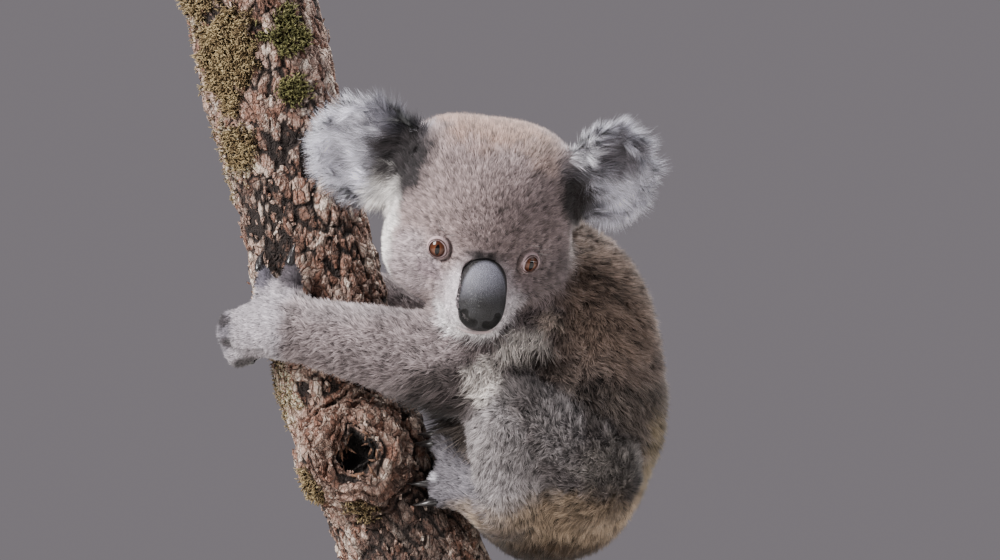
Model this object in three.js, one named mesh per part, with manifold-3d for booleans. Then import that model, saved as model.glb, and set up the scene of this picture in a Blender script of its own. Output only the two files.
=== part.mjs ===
// A life-size koala, clinging to a cut length of tree trunk that a plain display stand holds up.
// Millimetres, +Z up, with the origin at the centre of the base's underside. The koala's chest faces -X,
// its head is turned towards -Y, and each solid reaches out to the tips of the coat.

import * as THREE from "three";
import { mergeVertices } from "three/addons/utils/BufferGeometryUtils.js";
import Module from "manifold-3d";

const wasm = await Module();
wasm.setup();

// ---- Driving dimensions -------------------------------------------------------------------------

const GAP = 0.4; // clearance between solids that touch
const CELL = { body: 21, head: 15.4, ear: 14.2, paw: 10.3, nose: 8.8, burl: 17 }; // grid steps
const ROUND = { sides: 12, stops: 3 }; // facets round a limb and over its ends

// The koala's body lies either side of the plane Y = MIDDLE.
const MIDDLE = 4;
const TORSO_HALF_WIDTH = 88;

// The head's own origin is between the eyes, deep inside. Angles in degrees: nose down, leaning, turned.
const HEAD = { at: [9.5, -60, 369], pitch: 25, roll: 7, yaw: 8 };
const EYE = { apart: 68, back: -49, up: 12.5, tilt: 1.5, radius: 9.5 };
const NOSE = { width: 36, height: 53, depth: 26, back: -70, up: -10, lean: 27 };
const EAR = { radius: 49, thick: 17, dish: 37, dishDepth: 12 };

const DIGIT = { hand: [11, 9.5, 8], foot: [11.5, 10, 8.5] }; // radius at root, knuckle and tip
const CLAW = { radius: 3.2, length: { hand: 21, foot: 24 }, hook: 0.24 };

const LOG = { radius: 52, sides: 14, steps: 12, ripple: 2.2 };
const BURL = { at: [-90, -34, 199], radii: [45, 44, 43], hollow: [17, 22, 14] };
const BASE = { radius: 165, thick: 18, bevel: 3, sides: 30 };
const ROD = { radius: 8, sides: 12, sunk: 10, intoLog: 34 };

// ---- Vectors ------------------------------------------------------------------------------------

const plus = (a, b) => a.map((v, i) => v + b[i]);
const minus = (a, b) => a.map((v, i) => v - b[i]);
const times = (a, s) => a.map((v) => v * s);
const dot = (a, b) => a[0] * b[0] + a[1] * b[1] + a[2] * b[2];
const unit = (a) => times(a, 1 / Math.hypot(...a));
const between = (a, b, t) => plus(a, times(minus(b, a), t));
const radians = THREE.MathUtils.degToRad;

// ---- Shapes as distance fields: negative inside, with the box that holds them -------------------

function field(distance, low, high) {
  return Object.assign(distance, { low, high });
}

function egg(centre, radii) {
  const distance = (x, y, z) => {
    const p = [x - centre[0], y - centre[1], z - centre[2]];
    const near = Math.hypot(p[0] / radii[0], p[1] / radii[1], p[2] / radii[2]);
    const slope = Math.hypot(p[0] / radii[0] ** 2, p[1] / radii[1] ** 2, p[2] / radii[2] ** 2);
    return slope < 1e-9 ? -Math.min(...radii) : (near * (near - 1)) / slope;
  };
  return field(distance, minus(centre, radii), plus(centre, radii));
}

// A limb runs from a to b, and its round section changes from radius ra to rb.
function limb(a, b, ra, rb) {
  const axis = minus(b, a);
  const square = dot(axis, axis);
  const taper = ra - rb;
  const rest = square - taper * taper;
  const distance = (x, y, z) => {
    const p = [x - a[0], y - a[1], z - a[2]];
    const along = dot(p, axis);
    const past = along - square;
    const side = minus(times(p, square), times(axis, along));
    const across = dot(side, side);
    const edge = Math.sign(taper) * taper * taper * across;
    if (Math.sign(past) * rest * past * past * square > edge) {
      return Math.sqrt(across + past * past * square) / square - rb;
    }
    if (Math.sign(along) * rest * along * along * square < edge) {
      return Math.sqrt(across + along * along * square) / square - ra;
    }
    return (Math.sqrt((across * rest) / square) + along * taper) / square - ra;
  };
  const low = a.map((v, i) => Math.min(v - ra, b[i] - rb));
  const high = a.map((v, i) => Math.max(v + ra, b[i] + rb));
  return field(distance, low, high);
}

// The shapes run into each other over the width of the fillet.
function blend(fillet, ...shapes) {
  const distance = (x, y, z) => {
    let d = shapes[0](x, y, z);
    for (const shape of shapes.slice(1)) {
      const e = shape(x, y, z);
      const h = Math.max(fillet - Math.abs(d - e), 0) / fillet;
      d = Math.min(d, e) - (h * h * fillet) / 4;
    }
    return d;
  };
  const reach = (pick, sign) => [0, 1, 2].map((i) => pick(...shapes.map((s) => s[sign][i])));
  return field(distance, reach(Math.min, "low"), reach(Math.max, "high"));
}

function hollowed(shape, hole, fillet) {
  const distance = (x, y, z) => {
    const d = shape(x, y, z);
    const e = -hole(x, y, z);
    const h = Math.max(fillet - Math.abs(d - e), 0) / fillet;
    return Math.max(d, e) + (h * h * fillet) / 4;
  };
  return field(distance, shape.low, shape.high);
}

// A shape drawn in its own frame, turned and moved into place by a rigid matrix.
function placed(shape, matrix) {
  const inverse = matrix.clone().invert();
  const p = new THREE.Vector3();
  const distance = (x, y, z) => {
    p.set(x, y, z).applyMatrix4(inverse);
    return shape(p.x, p.y, p.z);
  };
  const box = new THREE.Box3(new THREE.Vector3(...shape.low), new THREE.Vector3(...shape.high));
  box.applyMatrix4(matrix);
  return field(distance, box.min.toArray(), box.max.toArray());
}

// ---- From a field to a solid --------------------------------------------------------------------

const STEPS = [
  [1, 0, 0],
  [0, 1, 0],
  [0, 0, 1],
];

// Surface nets: one vertex in each grid cell that the surface crosses, moved onto the surface. A swollen
// solid has the same faces, with each vertex pushed out, so that a room cut with it stays clear all over.
function solidOf(shape, cell, swell = 0) {
  const low = shape.low.map((v) => v - 2 * cell);
  const count = shape.high.map((v, i) => Math.ceil((v + 2 * cell - low[i]) / cell) + 1);
  const index = (i, j, k) => (k * count[1] + j) * count[0] + i;
  const point = (i, j, k) => [low[0] + i * cell, low[1] + j * cell, low[2] + k * cell];
  const values = new Float64Array(count[0] * count[1] * count[2]);
  for (let k = 0; k < count[2]; k++) {
    for (let j = 0; j < count[1]; j++) {
      for (let i = 0; i < count[0]; i++) {
        values[index(i, j, k)] = shape(...point(i, j, k));
      }
    }
  }
  while (fillPinches(values, count, index));

  const vertices = [];
  const vertexOf = new Map();
  const vertexAt = (i, j, k) => {
    const key = index(i, j, k);
    if (!vertexOf.has(key)) {
      const crossings = edgeCrossings((a) => values[index(i + a[0], j + a[1], k + a[2])]);
      const middle = times(crossings.reduce(plus), 1 / crossings.length);
      const start = plus(point(i, j, k), times(middle, cell));
      vertexOf.set(key, vertices.length / 3);
      vertices.push(...settled(shape, start, cell, swell));
    }
    return vertexOf.get(key);
  };

  const triangles = [];
  for (let k = 1; k < count[2] - 1; k++) {
    for (let j = 1; j < count[1] - 1; j++) {
      for (let i = 1; i < count[0] - 1; i++) {
        const here = values[index(i, j, k)] < 0;
        for (let axis = 0; axis < 3; axis++) {
          const [si, sj, sk] = STEPS[axis];
          if (here === values[index(i + si, j + sj, k + sk)] < 0) continue;
          const u = STEPS[(axis + 1) % 3];
          const v = STEPS[(axis + 2) % 3];
          const quad = [
            vertexAt(i, j, k),
            vertexAt(i - u[0], j - u[1], k - u[2]),
            vertexAt(i - u[0] - v[0], j - u[1] - v[1], k - u[2] - v[2]),
            vertexAt(i - v[0], j - v[1], k - v[2]),
          ];
          if (!here) quad.reverse();
          triangles.push(quad[0], quad[1], quad[2], quad[0], quad[2], quad[3]);
        }
      }
    }
  }
  return manifoldOf(new Float32Array(vertices), new Uint32Array(triangles));
}

// Where a body would touch itself along an edge only, one of the two gaps beside it is filled.
function fillPinches(values, count, index) {
  let filled = false;
  for (let k = 1; k < count[2] - 1; k++) {
    for (let j = 1; j < count[1] - 1; j++) {
      for (let i = 1; i < count[0] - 1; i++) {
        for (const axis of [0, 1, 2]) {
          const u = STEPS[(axis + 1) % 3];
          const v = STEPS[(axis + 2) % 3];
          const ring = [[0, 0, 0], u, plus(u, v), v].map((s) => index(i + s[0], j + s[1], k + s[2]));
          const [a, b, c, d] = ring.map((corner) => values[corner] < 0);
          if (a !== c || b !== d || a === b) continue;
          const gaps = a ? [ring[1], ring[3]] : [ring[0], ring[2]];
          const nearer = values[gaps[0]] < values[gaps[1]] ? gaps[0] : gaps[1];
          values[nearer] = -1e-6;
          filled = true;
        }
      }
    }
  }
  return filled;
}

// Where the surface crosses the twelve edges of a cell, from the values at its corners.
function edgeCrossings(valueAt) {
  const crossings = [];
  for (let n = 0; n < 8; n++) {
    const a = [n & 1, (n >> 1) & 1, (n >> 2) & 1];
    for (const step of STEPS) {
      if (dot(a, step)) continue;
      const b = plus(a, step);
      const [va, vb] = [valueAt(a), valueAt(b)];
      if (va < 0 !== vb < 0) crossings.push(between(a, b, va / (va - vb)));
    }
  }
  return crossings;
}

// Two Newton steps take a vertex onto the surface, and never further than half a cell.
function settled(shape, start, cell, swell) {
  let p = start;
  let slope = [0, 0, 0];
  const h = 0.05 * cell;
  for (let step = 0; step < 2; step++) {
    slope = STEPS.map((s) => (shape(...plus(p, times(s, h))) - shape(...plus(p, times(s, -h)))) / (2 * h));
    p = minus(p, times(slope, shape(...p) / Math.max(dot(slope, slope), 0.3)));
  }
  const shift = minus(p, start);
  const far = Math.hypot(...shift);
  const place = far > 0.5 * cell ? plus(start, times(shift, (0.5 * cell) / far)) : p;
  return plus(place, times(unit(slope), swell));
}

function manifoldOf(vertProperties, triVerts) {
  return new wasm.Manifold(new wasm.Mesh({ numProp: 3, vertProperties, triVerts }));
}

function manifoldOfGeometry(geometry, matrix = new THREE.Matrix4()) {
  const bare = geometry.clone().applyMatrix4(matrix);
  bare.deleteAttribute("normal");
  bare.deleteAttribute("uv");
  const merged = mergeVertices(bare, 1e-3);
  return manifoldOf(merged.attributes.position.array, new Uint32Array(merged.index.array));
}

// A straight limb with round ends, turned on a lathe and stood between its two joints.
function limbSolid(a, b, ra, rb, { sides, stops }, swell = 0) {
  const axis = new THREE.Vector3(...minus(b, a));
  const length = axis.length();
  const lean = Math.asin((ra - rb) / length);
  const arc = (centre, radius, from, to) =>
    Array.from({ length: stops + 1 }, (_, i) => {
      const angle = from + ((to - from) * i) / stops;
      const r = (radius + swell) / Math.cos(Math.PI / (2 * sides));
      return new THREE.Vector2(Math.max(r * Math.cos(angle), 0), centre + r * Math.sin(angle));
    });
  const quarter = Math.PI / 2;
  const profile = [...arc(0, ra, -quarter, lean), ...arc(length, rb, lean, quarter)];
  profile[0].x = 0;
  profile[profile.length - 1].x = 0;
  const turn = new THREE.Quaternion().setFromUnitVectors(new THREE.Vector3(0, 1, 0), axis.normalize());
  const place = new THREE.Matrix4().compose(new THREE.Vector3(...a), turn, new THREE.Vector3(1, 1, 1));
  return manifoldOfGeometry(new THREE.LatheGeometry(profile, sides), place);
}

const without = (solid, ...others) => others.reduce((rest, other) => rest.subtract(other), solid);

// Divides a solid across a plane and leaves a thin cut. The first piece is on the normal's side.
function parted(solid, at, towards) {
  const normal = unit(towards);
  const offset = dot(normal, at);
  return [
    solid.trimByPlane(normal, offset + GAP / 2),
    solid.trimByPlane(times(normal, -1), -offset + GAP / 2),
  ];
}

// ---- The log: a leaning, gently bent trunk with a broken-branch burl -----------------------------

// The middle of the log at both ends and where it bends.
const logAxis = new THREE.CatmullRomCurve3(
  [
    [-19, 0, 70],
    [-63, 0, 162],
    [-97, 0, 242],
    [-116, 0, 322],
    [-132, 0, 402],
    [-152, 0, 482],
    [-173, 0, 574],
  ].map((p) => new THREE.Vector3(...p)),
);

function logRadius(t, angle) {
  const waist = 1.05 - 0.07 * Math.sin(Math.PI * t);
  const ripple = Math.sin(3 * angle + 5 * t) + 0.6 * Math.sin(5 * angle - 11 * t) + 0.5 * Math.sin(17 * t);
  return LOG.radius * waist + LOG.ripple * ripple;
}

function logSolid(swell = 0) {
  const { sides, steps } = LOG;
  const positions = [];
  const indices = [];
  const ahead = new THREE.Vector3(0, 1, 0);
  for (let i = 0; i <= steps; i++) {
    const t = i / steps;
    const tangent = logAxis.getTangent(t);
    const across = new THREE.Vector3().crossVectors(ahead, tangent).normalize();
    const centre = logAxis.getPoint(t);
    if (i === 0) centre.addScaledVector(tangent, -swell);
    if (i === steps) centre.addScaledVector(tangent, swell);
    for (let j = 0; j < sides; j++) {
      const angle = (2 * Math.PI * j) / sides;
      const r = logRadius(t, angle) + swell;
      const rim = centre.clone().addScaledVector(across, r * Math.cos(angle));
      positions.push(...rim.addScaledVector(ahead, r * Math.sin(angle)).toArray());
    }
  }
  for (let i = 0; i < steps; i++) {
    for (let j = 0; j < sides; j++) {
      const a = i * sides + j;
      const b = i * sides + ((j + 1) % sides);
      indices.push(a, b, a + sides, b, b + sides, a + sides);
    }
  }
  const last = steps * sides;
  for (let j = 1; j < sides - 1; j++) {
    indices.push(0, j + 1, j);
    indices.push(last, last + j, last + j + 1);
  }
  return manifoldOf(new Float32Array(positions), new Uint32Array(indices));
}

function burlField() {
  const mouth = plus(BURL.at, [-3, 6 - BURL.radii[1], 3]);
  return hollowed(egg(BURL.at, BURL.radii), egg(mouth, BURL.hollow), 6);
}

const woodSolid = (swell) => logSolid(swell).add(solidOf(burlField(), CELL.burl, swell));

// ---- The display stand ---------------------------------------------------------------------------

const rodPlaces = { left: -44, right: 6 };

function logBottomAt(x) {
  const end = logAxis.getPoint(0);
  const tangent = logAxis.getTangent(0);
  return end.z - ((x - end.x) * tangent.x) / tangent.z;
}

function rodSolid(x, swell = 0) {
  const bottom = BASE.thick - ROD.sunk - swell;
  const top = logBottomAt(x) + ROD.intoLog + swell;
  const shaft = new THREE.CylinderGeometry(ROD.radius + swell, ROD.radius + swell, top - bottom, ROD.sides);
  const place = new THREE.Matrix4().makeTranslation(x, 0, (top + bottom) / 2);
  return manifoldOfGeometry(shaft, place.multiply(new THREE.Matrix4().makeRotationX(Math.PI / 2)));
}

function baseSolid() {
  const { radius, thick, bevel, sides } = BASE;
  const profile = [
    [0, 0],
    [radius - bevel, 0],
    [radius, bevel],
    [radius, thick - bevel],
    [radius - bevel, thick],
    [0, thick],
  ].map((p) => new THREE.Vector2(...p));
  const disc = new THREE.LatheGeometry(profile, sides);
  return manifoldOfGeometry(disc, new THREE.Matrix4().makeRotationX(Math.PI / 2));
}

// ---- The head, drawn facing -Y with its own origin, then turned into place -----------------------

function frameAt(place, pitch, roll, yaw) {
  const turn = new THREE.Euler(radians(pitch), radians(roll), radians(yaw), "YZX");
  return new THREE.Matrix4().makeRotationFromEuler(turn).setPosition(...place);
}
const headFrame = frameAt(HEAD.at, HEAD.pitch, HEAD.roll, HEAD.yaw);
const inHead = (p) => new THREE.Vector3(...p).applyMatrix4(headFrame).toArray();
const onHead = (shape) => placed(shape, headFrame);

function skullField() {
  return onHead(
    blend(
      16,
      egg([0, 8, 31], [66, 70, 64]),
      egg([-32, 8, 50], [40, 48, 44]),
      egg([32, 8, 50], [40, 48, 44]),
      egg([0, -26, 34], [48, 38, 38]),
      egg([-37, -6, -5], [38, 46, 43]),
      egg([37, -6, -5], [38, 46, 43]),
      limb([0, -36, -13], [0, -60, -22], 37, 27),
    ),
  );
}

function muzzleField() {
  return onHead(blend(10, limb([0, -44, -16], [0, -63, -23], 31, 25), egg([0, -57, -38], [21, 21, 12])));
}

function noseField() {
  const { width, height, depth, back, up, lean } = NOSE;
  const pad = blend(
    8,
    egg([0, 0, height * 0.18], [width * 0.44, depth * 0.5, height * 0.32]),
    egg([0, -1, -height * 0.16], [width * 0.5, depth * 0.52, height * 0.34]),
  );
  return onHead(placed(pad, frameAt([0, back, up], -lean, 0, 0)));
}

function eyeSolid(side, swell = 0) {
  const ball = new THREE.SphereGeometry(EYE.radius + swell, 10, 6);
  const at = inHead([(side * EYE.apart) / 2, EYE.back, EYE.up - side * EYE.tilt]);
  return manifoldOfGeometry(ball, new THREE.Matrix4().makeTranslation(...at));
}

// Each ear is a dish on a short root. "out" turns it to the side, "fall" tips it over sideways.
const EARS = [
  { name: "ear_right", side: -1, at: [-92, 4, 62], out: 6, fall: 8 },
  { name: "ear_left", side: 1, at: [95, 4, 74], out: 24, fall: 10 },
];

function earField({ side, at, out, fall }) {
  const { radius, thick, dish, dishDepth } = EAR;
  const shell = egg([0, 0, 0], [radius, thick, radius]);
  const hollow = egg([0, -thick, -4], [dish, dishDepth, dish - 4]);
  const blade = placed(hollowed(shell, hollow, 6), frameAt(at, 0, side * fall, side * out));
  return onHead(blend(14, blade, limb([side * 48, 10, 42], [side * 70, 8, 54], 27, 20)));
}

// ---- The torso -----------------------------------------------------------------------------------

const NECK = { low: [66, 6, 330], high: [24, -8, 372], radiusLow: 60, radiusHigh: 55 };

function torsoField() {
  return blend(
    26,
    egg([82, MIDDLE, 292], [74, TORSO_HALF_WIDTH - 8, 84]),
    egg([84, MIDDLE, 236], [79, TORSO_HALF_WIDTH, 80]),
    egg([68, MIDDLE, 184], [75, TORSO_HALF_WIDTH, 75]),
    limb(NECK.low, NECK.high, NECK.radiusLow, NECK.radiusHigh),
  );
}

// ---- Limbs ---------------------------------------------------------------------------------------

// Joints run shoulder, elbow, wrist, palm, or hip, knee, ankle, sole. A digit's chain runs root, knuckle,
// tip, and its claw, where it has one, goes on from the tip in the direction given.
const ARMS = {
  left: {
    joints: [
      [54, -44, 314],
      [-4, -68, 272],
      [-133, -77, 301],
      [-164, -52, 300],
    ],
    radii: [42, 41, 27, 21],
    digits: [
      { chain: [[-150, -61, 318], [-155, -59, 334], [-158, -52, 345]], claw: [-0.1, 0.4, 1] },
      { chain: [[-132, -66, 318], [-134, -67, 338], [-135, -61, 350]], claw: [0.1, 0.3, 1] },
      { chain: [[-172, -48, 308], [-187, -30, 306], [-180, -9, 305]], claw: [1, 0.9, -0.1] },
      { chain: [[-172, -46, 296], [-188, -28, 291], [-181, -7, 289]], claw: [1, 0.9, -0.1] },
      { chain: [[-166, -48, 286], [-179, -32, 277], [-173, -12, 275]], claw: [1, 0.9, -0.1] },
    ],
  },
  right: {
    joints: [
      [60, 56, 316],
      [-8, 82, 286],
      [-108, 80, 330],
      [-140, 66, 343],
    ],
    radii: [43, 39, 27, 21],
    digits: [
      { chain: [[-124, 70, 324], [-130, 69, 310], [-136, 62, 300]], claw: [-0.4, -0.5, -1] },
      { chain: [[-108, 74, 320], [-112, 72, 306], [-118, 65, 296]], claw: [-0.1, -0.5, -1] },
      { chain: [[-142, 64, 356], [-158, 54, 362], [-166, 38, 362]], claw: [0.1, -1, 0] },
      { chain: [[-146, 62, 345], [-160, 52, 348], [-169, 36, 347]], claw: [0.2, -1, 0] },
      { chain: [[-144, 60, 334], [-156, 53, 333], [-165, 38, 331]], claw: [0.2, -1, 0] },
    ],
  },
};

// The upper two toes are fused up to their claws, and the first toe has none.
const leftLeg = {
  joints: [
    [92, -56, 190],
    [42, -80, 226],
    [32, -62, 162],
    [-4, -44, 182],
  ],
  radii: [50, 43, 28, 19],
  digits: [
    { chain: [[-6, -42, 194], [-15, -41, 206], [-22, -36, 209]], claw: [-1, 0.3, 0.2] },
    { chain: [[-5, -34, 195], [-14, -32, 210], [-21, -28, 214]], claw: [-1, 0.2, 0.3] },
    { chain: [[-8, -46, 180], [-19, -46, 180], [-26, -43, 178]], claw: [-1, -0.3, 0] },
    { chain: [[-2, -46, 172], [-13, -48, 167], [-22, -46, 165]], claw: [-1, -0.25, -0.3] },
    { chain: [[6, -34, 178], [2, -20, 182], [-5, -9, 184]] },
  ],
};

// The right leg mirrors the left one, a little lower on the trunk.
function mirrored({ joints, radii, digits }, drop) {
  const flip = ([x, y, z]) => [x, 2 * MIDDLE - y, z - drop];
  const flipDigit = ({ chain, claw }) => {
    return { chain: chain.map(flip), claw: claw && [claw[0], -claw[1], claw[2]] };
  };
  return { joints: joints.map(flip), radii, digits: digits.map(flipDigit) };
}
const LEGS = { left: leftLeg, right: mirrored(leftLeg, 7) };

// A chain of joints becomes one overlapping solid for each bone.
function bones({ joints, radii }, swell = 0) {
  const bone = (_, i) => limbSolid(joints[i], joints[i + 1], radii[i], radii[i + 1], ROUND, swell);
  return joints.slice(1).map(bone);
}

function pawField({ joints, radii, digits }, [root, knuckle, tip]) {
  const palm = limb(joints[2], joints[3], radii[2], radii[3]);
  const rays = digits.flatMap(({ chain }) => [
    limb(chain[0], chain[1], root, knuckle),
    limb(chain[1], chain[2], knuckle, tip),
  ]);
  return blend(4, palm, ...rays);
}

// A claw is a cone hooked towards the log, with its root sunk in the tip of the digit.
function clawSolid({ chain, claw }, length, inwards) {
  const cone = new THREE.ConeGeometry(CLAW.radius, length, 5, 2);
  const at = cone.attributes.position;
  for (let i = 0; i < at.count; i++) {
    const along = at.getY(i) / length + 0.5;
    at.setX(i, at.getX(i) + CLAW.hook * length * along * along);
  }
  const y = new THREE.Vector3(...claw).normalize();
  const x = new THREE.Vector3(...minus(inwards, chain[2]));
  x.addScaledVector(y, -x.dot(y)).normalize();
  const middle = new THREE.Vector3(...chain[2]).addScaledVector(y, length / 2 - 1);
  const place = new THREE.Matrix4().makeBasis(x, y, new THREE.Vector3().crossVectors(x, y));
  return manifoldOfGeometry(cone, place.setPosition(middle));
}

// ---- Cutting the pieces against each other -------------------------------------------------------

// A finished piece is one body: cutting can leave crumbs, and only the largest part is kept.
const finished = [];
function keep(name, solid, finish) {
  const whole = solid.decompose().reduce((a, b) => (a.volume() > b.volume() ? a : b));
  finished.push({ name, solid: whole, finish });
}

const rodHoles = Object.values(rodPlaces).map((x) => rodSolid(x, GAP));
const woodRoom = woodSolid(GAP);
keep("perch_log", without(woodSolid(0), ...rodHoles), "bark");
keep("stand_base", without(baseSolid(), ...rodHoles), "stand");
Object.entries(rodPlaces).forEach(([side, x]) => keep(`stand_rod_${side}`, rodSolid(x), "steel"));

// The torso gives way to the log, and is parted into neck, chest, belly and rump.
const torsoRoom = solidOf(torsoField(), CELL.body, GAP);
const torso = without(solidOf(torsoField(), CELL.body), woodRoom);
const [neck, trunk] = parted(torso, [66, 0, 345], [-0.6, -0.1, 1]);
const [chest, hind] = parted(trunk, [80, 0, 262], [0, 0, 1]);
const [belly, rump] = parted(hind, [80, 0, 200], [0, 0, 1]);
keep("neck", neck, "body_fur");
keep("chest", chest, "body_fur");
keep("belly", belly, "body_fur");
keep("rump", rump, "rump_fur");

// A limb has two bones and a paw, parted where they bend. The claws stand on the tips of the digits.
const limbRooms = [];
function keepLimb(side, { kind, names, paw, limb, gripAt, fur }) {
  const { joints, digits } = limb;
  const [first, second] = bones(limb);
  const bend = minus(unit(minus(joints[2], joints[1])), unit(minus(joints[0], joints[1])));
  const end = plus(unit(minus(joints[3], joints[2])), unit(minus(joints[2], joints[1])));
  const [, upper] = parted(first, joints[1], bend);
  const [lower] = parted(second, joints[1], bend);
  const [, shank] = parted(lower, joints[2], end);
  const [palm] = parted(solidOf(pawField(limb, DIGIT[paw]), CELL.paw), joints[2], end);

  const others = [torsoRoom, woodRoom, ...limbRooms];
  keep(`${kind}_${side}_${names[0]}`, without(upper, ...others), fur);
  keep(`${kind}_${side}_${names[1]}`, without(shank, ...others), fur);
  keep(`${paw}_${side}`, without(palm, torsoRoom, woodRoom), "paw_fur");
  const pawRoom = solidOf(pawField(limb, DIGIT[paw]), CELL.paw, GAP);
  const inwards = logAxis.getPoint(gripAt).toArray();
  digits.forEach((digit, i) => {
    if (!digit.claw) return;
    const claw = clawSolid(digit, CLAW.length[paw], inwards);
    keep(`claw_${paw}_${side}_${i + 1}`, without(claw, pawRoom, woodRoom), "claw");
  });
  limbRooms.push(...bones(limb, GAP).slice(0, 2));
}
const arm = { kind: "arm", names: ["upper", "fore"], paw: "hand", gripAt: 0.5, fur: "arm_fur" };
const leg = { kind: "leg", names: ["thigh", "shin"], paw: "foot", gripAt: 0.2, fur: "leg_fur" };
Object.entries(ARMS).forEach(([side, limb]) => keepLimb(side, { ...arm, limb }));
Object.entries(LEGS).forEach(([side, limb]) => keepLimb(side, { ...leg, limb }));

// The eyes and the nose leather sit in the face, and the muzzle is parted from the head behind them.
const noseRoom = solidOf(noseField(), CELL.nose, GAP);
keep("eye_left", eyeSolid(1), "eye");
keep("eye_right", eyeSolid(-1), "eye");
keep("nose", solidOf(noseField(), CELL.nose), "leather");
const faceField = blend(8, skullField(), muzzleField());
const faceRoom = solidOf(faceField, CELL.head, GAP);
const forwards = minus(inHead([0, -1, -0.25]), inHead([0, 0, 0]));
const [muzzle, head] = parted(solidOf(faceField, CELL.head), inHead([0, -60, -10]), forwards);
const bodyRooms = [torsoRoom, ...limbRooms, noseRoom];
keep("muzzle", without(muzzle, ...bodyRooms), "face_fur");
keep("head", without(head, ...bodyRooms, eyeSolid(1, GAP), eyeSolid(-1, GAP), woodRoom), "face_fur");
for (const ear of EARS) {
  keep(ear.name, without(solidOf(earField(ear), CELL.ear), faceRoom, torsoRoom, woodRoom), "ear_fur");
}

// ---- Finishes and the scene graph ----------------------------------------------------------------

function finish(color, roughness, metalness = 0) {
  return new THREE.MeshStandardMaterial({ color, roughness, metalness });
}
const FINISHES = {
  body_fur: finish(0x756961, 0.95),
  rump_fur: finish(0x7d6a52, 0.95),
  arm_fur: finish(0x8f8583, 0.95),
  leg_fur: finish(0x8a8280, 0.95),
  paw_fur: finish(0x9a9496, 0.9),
  face_fur: finish(0x9c8f8d, 0.95),
  ear_fur: finish(0xc2c0c6, 0.95),
  leather: finish(0x4e4d55, 0.45),
  eye: finish(0x5a3320, 0.1),
  claw: finish(0x2b2827, 0.35),
  bark: finish(0x6b5345, 0.9),
  stand: finish(0x2e2a27, 0.4),
  steel: finish(0xb9bbbe, 0.3, 1),
};

function meshOf({ name, solid, finish: key }) {
  const { numProp, vertProperties, triVerts } = solid.getMesh();
  const positions = new Float32Array((vertProperties.length / numProp) * 3);
  for (let i = 0; i < positions.length / 3; i++) {
    positions.set(vertProperties.subarray(i * numProp, i * numProp + 3), i * 3);
  }
  const geometry = new THREE.BufferGeometry()
    .setAttribute("position", new THREE.BufferAttribute(positions, 3))
    .setIndex(new THREE.BufferAttribute(triVerts, 1));
  geometry.computeVertexNormals();
  const mesh = new THREE.Mesh(geometry, FINISHES[key]);
  mesh.name = name;
  return mesh;
}

const koala = new THREE.Group();
finished.forEach((piece) => koala.add(meshOf(piece)));

export default koala;
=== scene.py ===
# %% [markdown]
# # A koala on its tree trunk
#
# A koala is a stout grey marsupial with woolly fur, big tufted ears and a spoon-shaped leather nose. Here it
# hugs a leaning trunk and turns its head to look at us. The packed model gives plain solids that reach out to
# the tips of the fur. This notebook keeps their places and sizes, and dresses them: one skin under the whole
# body, tufts of fur over it, wet eyes, a leather nose, horn claws, flaking bark and a lacquered stand.
#
# Lengths in the finished scene are metres. Where a body is shaped from given numbers, these are in millimetres,
# because they are easier to picture, and are turned into metres at the end.

# %% Load the frame
import math

import bpy
import numpy as np
from mathutils import Matrix, Vector
from mathutils.kdtree import KDTree


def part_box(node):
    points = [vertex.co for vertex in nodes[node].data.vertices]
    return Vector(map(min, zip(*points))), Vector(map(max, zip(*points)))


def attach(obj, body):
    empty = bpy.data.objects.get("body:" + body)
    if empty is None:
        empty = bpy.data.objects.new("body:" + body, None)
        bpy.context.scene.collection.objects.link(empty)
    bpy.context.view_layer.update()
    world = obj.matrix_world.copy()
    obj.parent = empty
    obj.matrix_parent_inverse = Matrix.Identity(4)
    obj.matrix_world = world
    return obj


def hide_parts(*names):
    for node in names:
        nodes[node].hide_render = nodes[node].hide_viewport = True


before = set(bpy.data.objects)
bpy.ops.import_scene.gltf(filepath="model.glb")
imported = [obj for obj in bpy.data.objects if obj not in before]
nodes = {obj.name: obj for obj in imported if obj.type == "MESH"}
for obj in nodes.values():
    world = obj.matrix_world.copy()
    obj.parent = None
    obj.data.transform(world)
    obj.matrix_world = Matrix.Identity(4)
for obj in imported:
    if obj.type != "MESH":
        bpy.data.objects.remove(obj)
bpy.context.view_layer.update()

MM = 0.001

# %% [markdown]
# ## Landmarks
#
# Everything that is added must sit where the solids are. The head is tipped and turned, so its features are
# easier to place in a frame of its own: +X is the koala's left cheek, -Y is straight ahead past the nose, and +Z
# goes up through the crown. One matrix takes places from that frame to the world, and its inverse brings them
# back.

# %% Landmarks, in millimetres
HEAD_TURN = (
    Matrix.Rotation(math.radians(7), 4, "Y")
    @ Matrix.Rotation(math.radians(8), 4, "Z")
    @ Matrix.Rotation(math.radians(25), 4, "X")
)
HEAD = Matrix.Translation((9.5, -60, 369)) @ HEAD_TURN
EYES = {"left": (34, -49, 11), "right": (-34, -49, 14)}
NOSE_AT = (0, -70, -10)


def moved(points, matrix):
    """Rows of places, each moved by the matrix."""
    matrix = np.array(matrix)
    return points @ matrix[:3, :3].T + matrix[:3, 3]


def in_head(points):
    """World millimetres to the head's own millimetres."""
    return moved(points, HEAD.inverted())


def out_of_head(point):
    """The head's own millimetres to world millimetres, as a vector."""
    return HEAD @ Vector(point)


print("nose pad at", [round(v) for v in out_of_head(NOSE_AT)], "in its solid", np.round(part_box("nose"), 3).tolist())

# %% [markdown]
# ## Choosing what to work on
#
# Blender's edit tools work on what is selected, and loading leaves the solids selected. So each step begins by
# making its own piece the only selected one. A modifier is applied as soon as it is added, because later steps
# move the faces that it makes.

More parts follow.
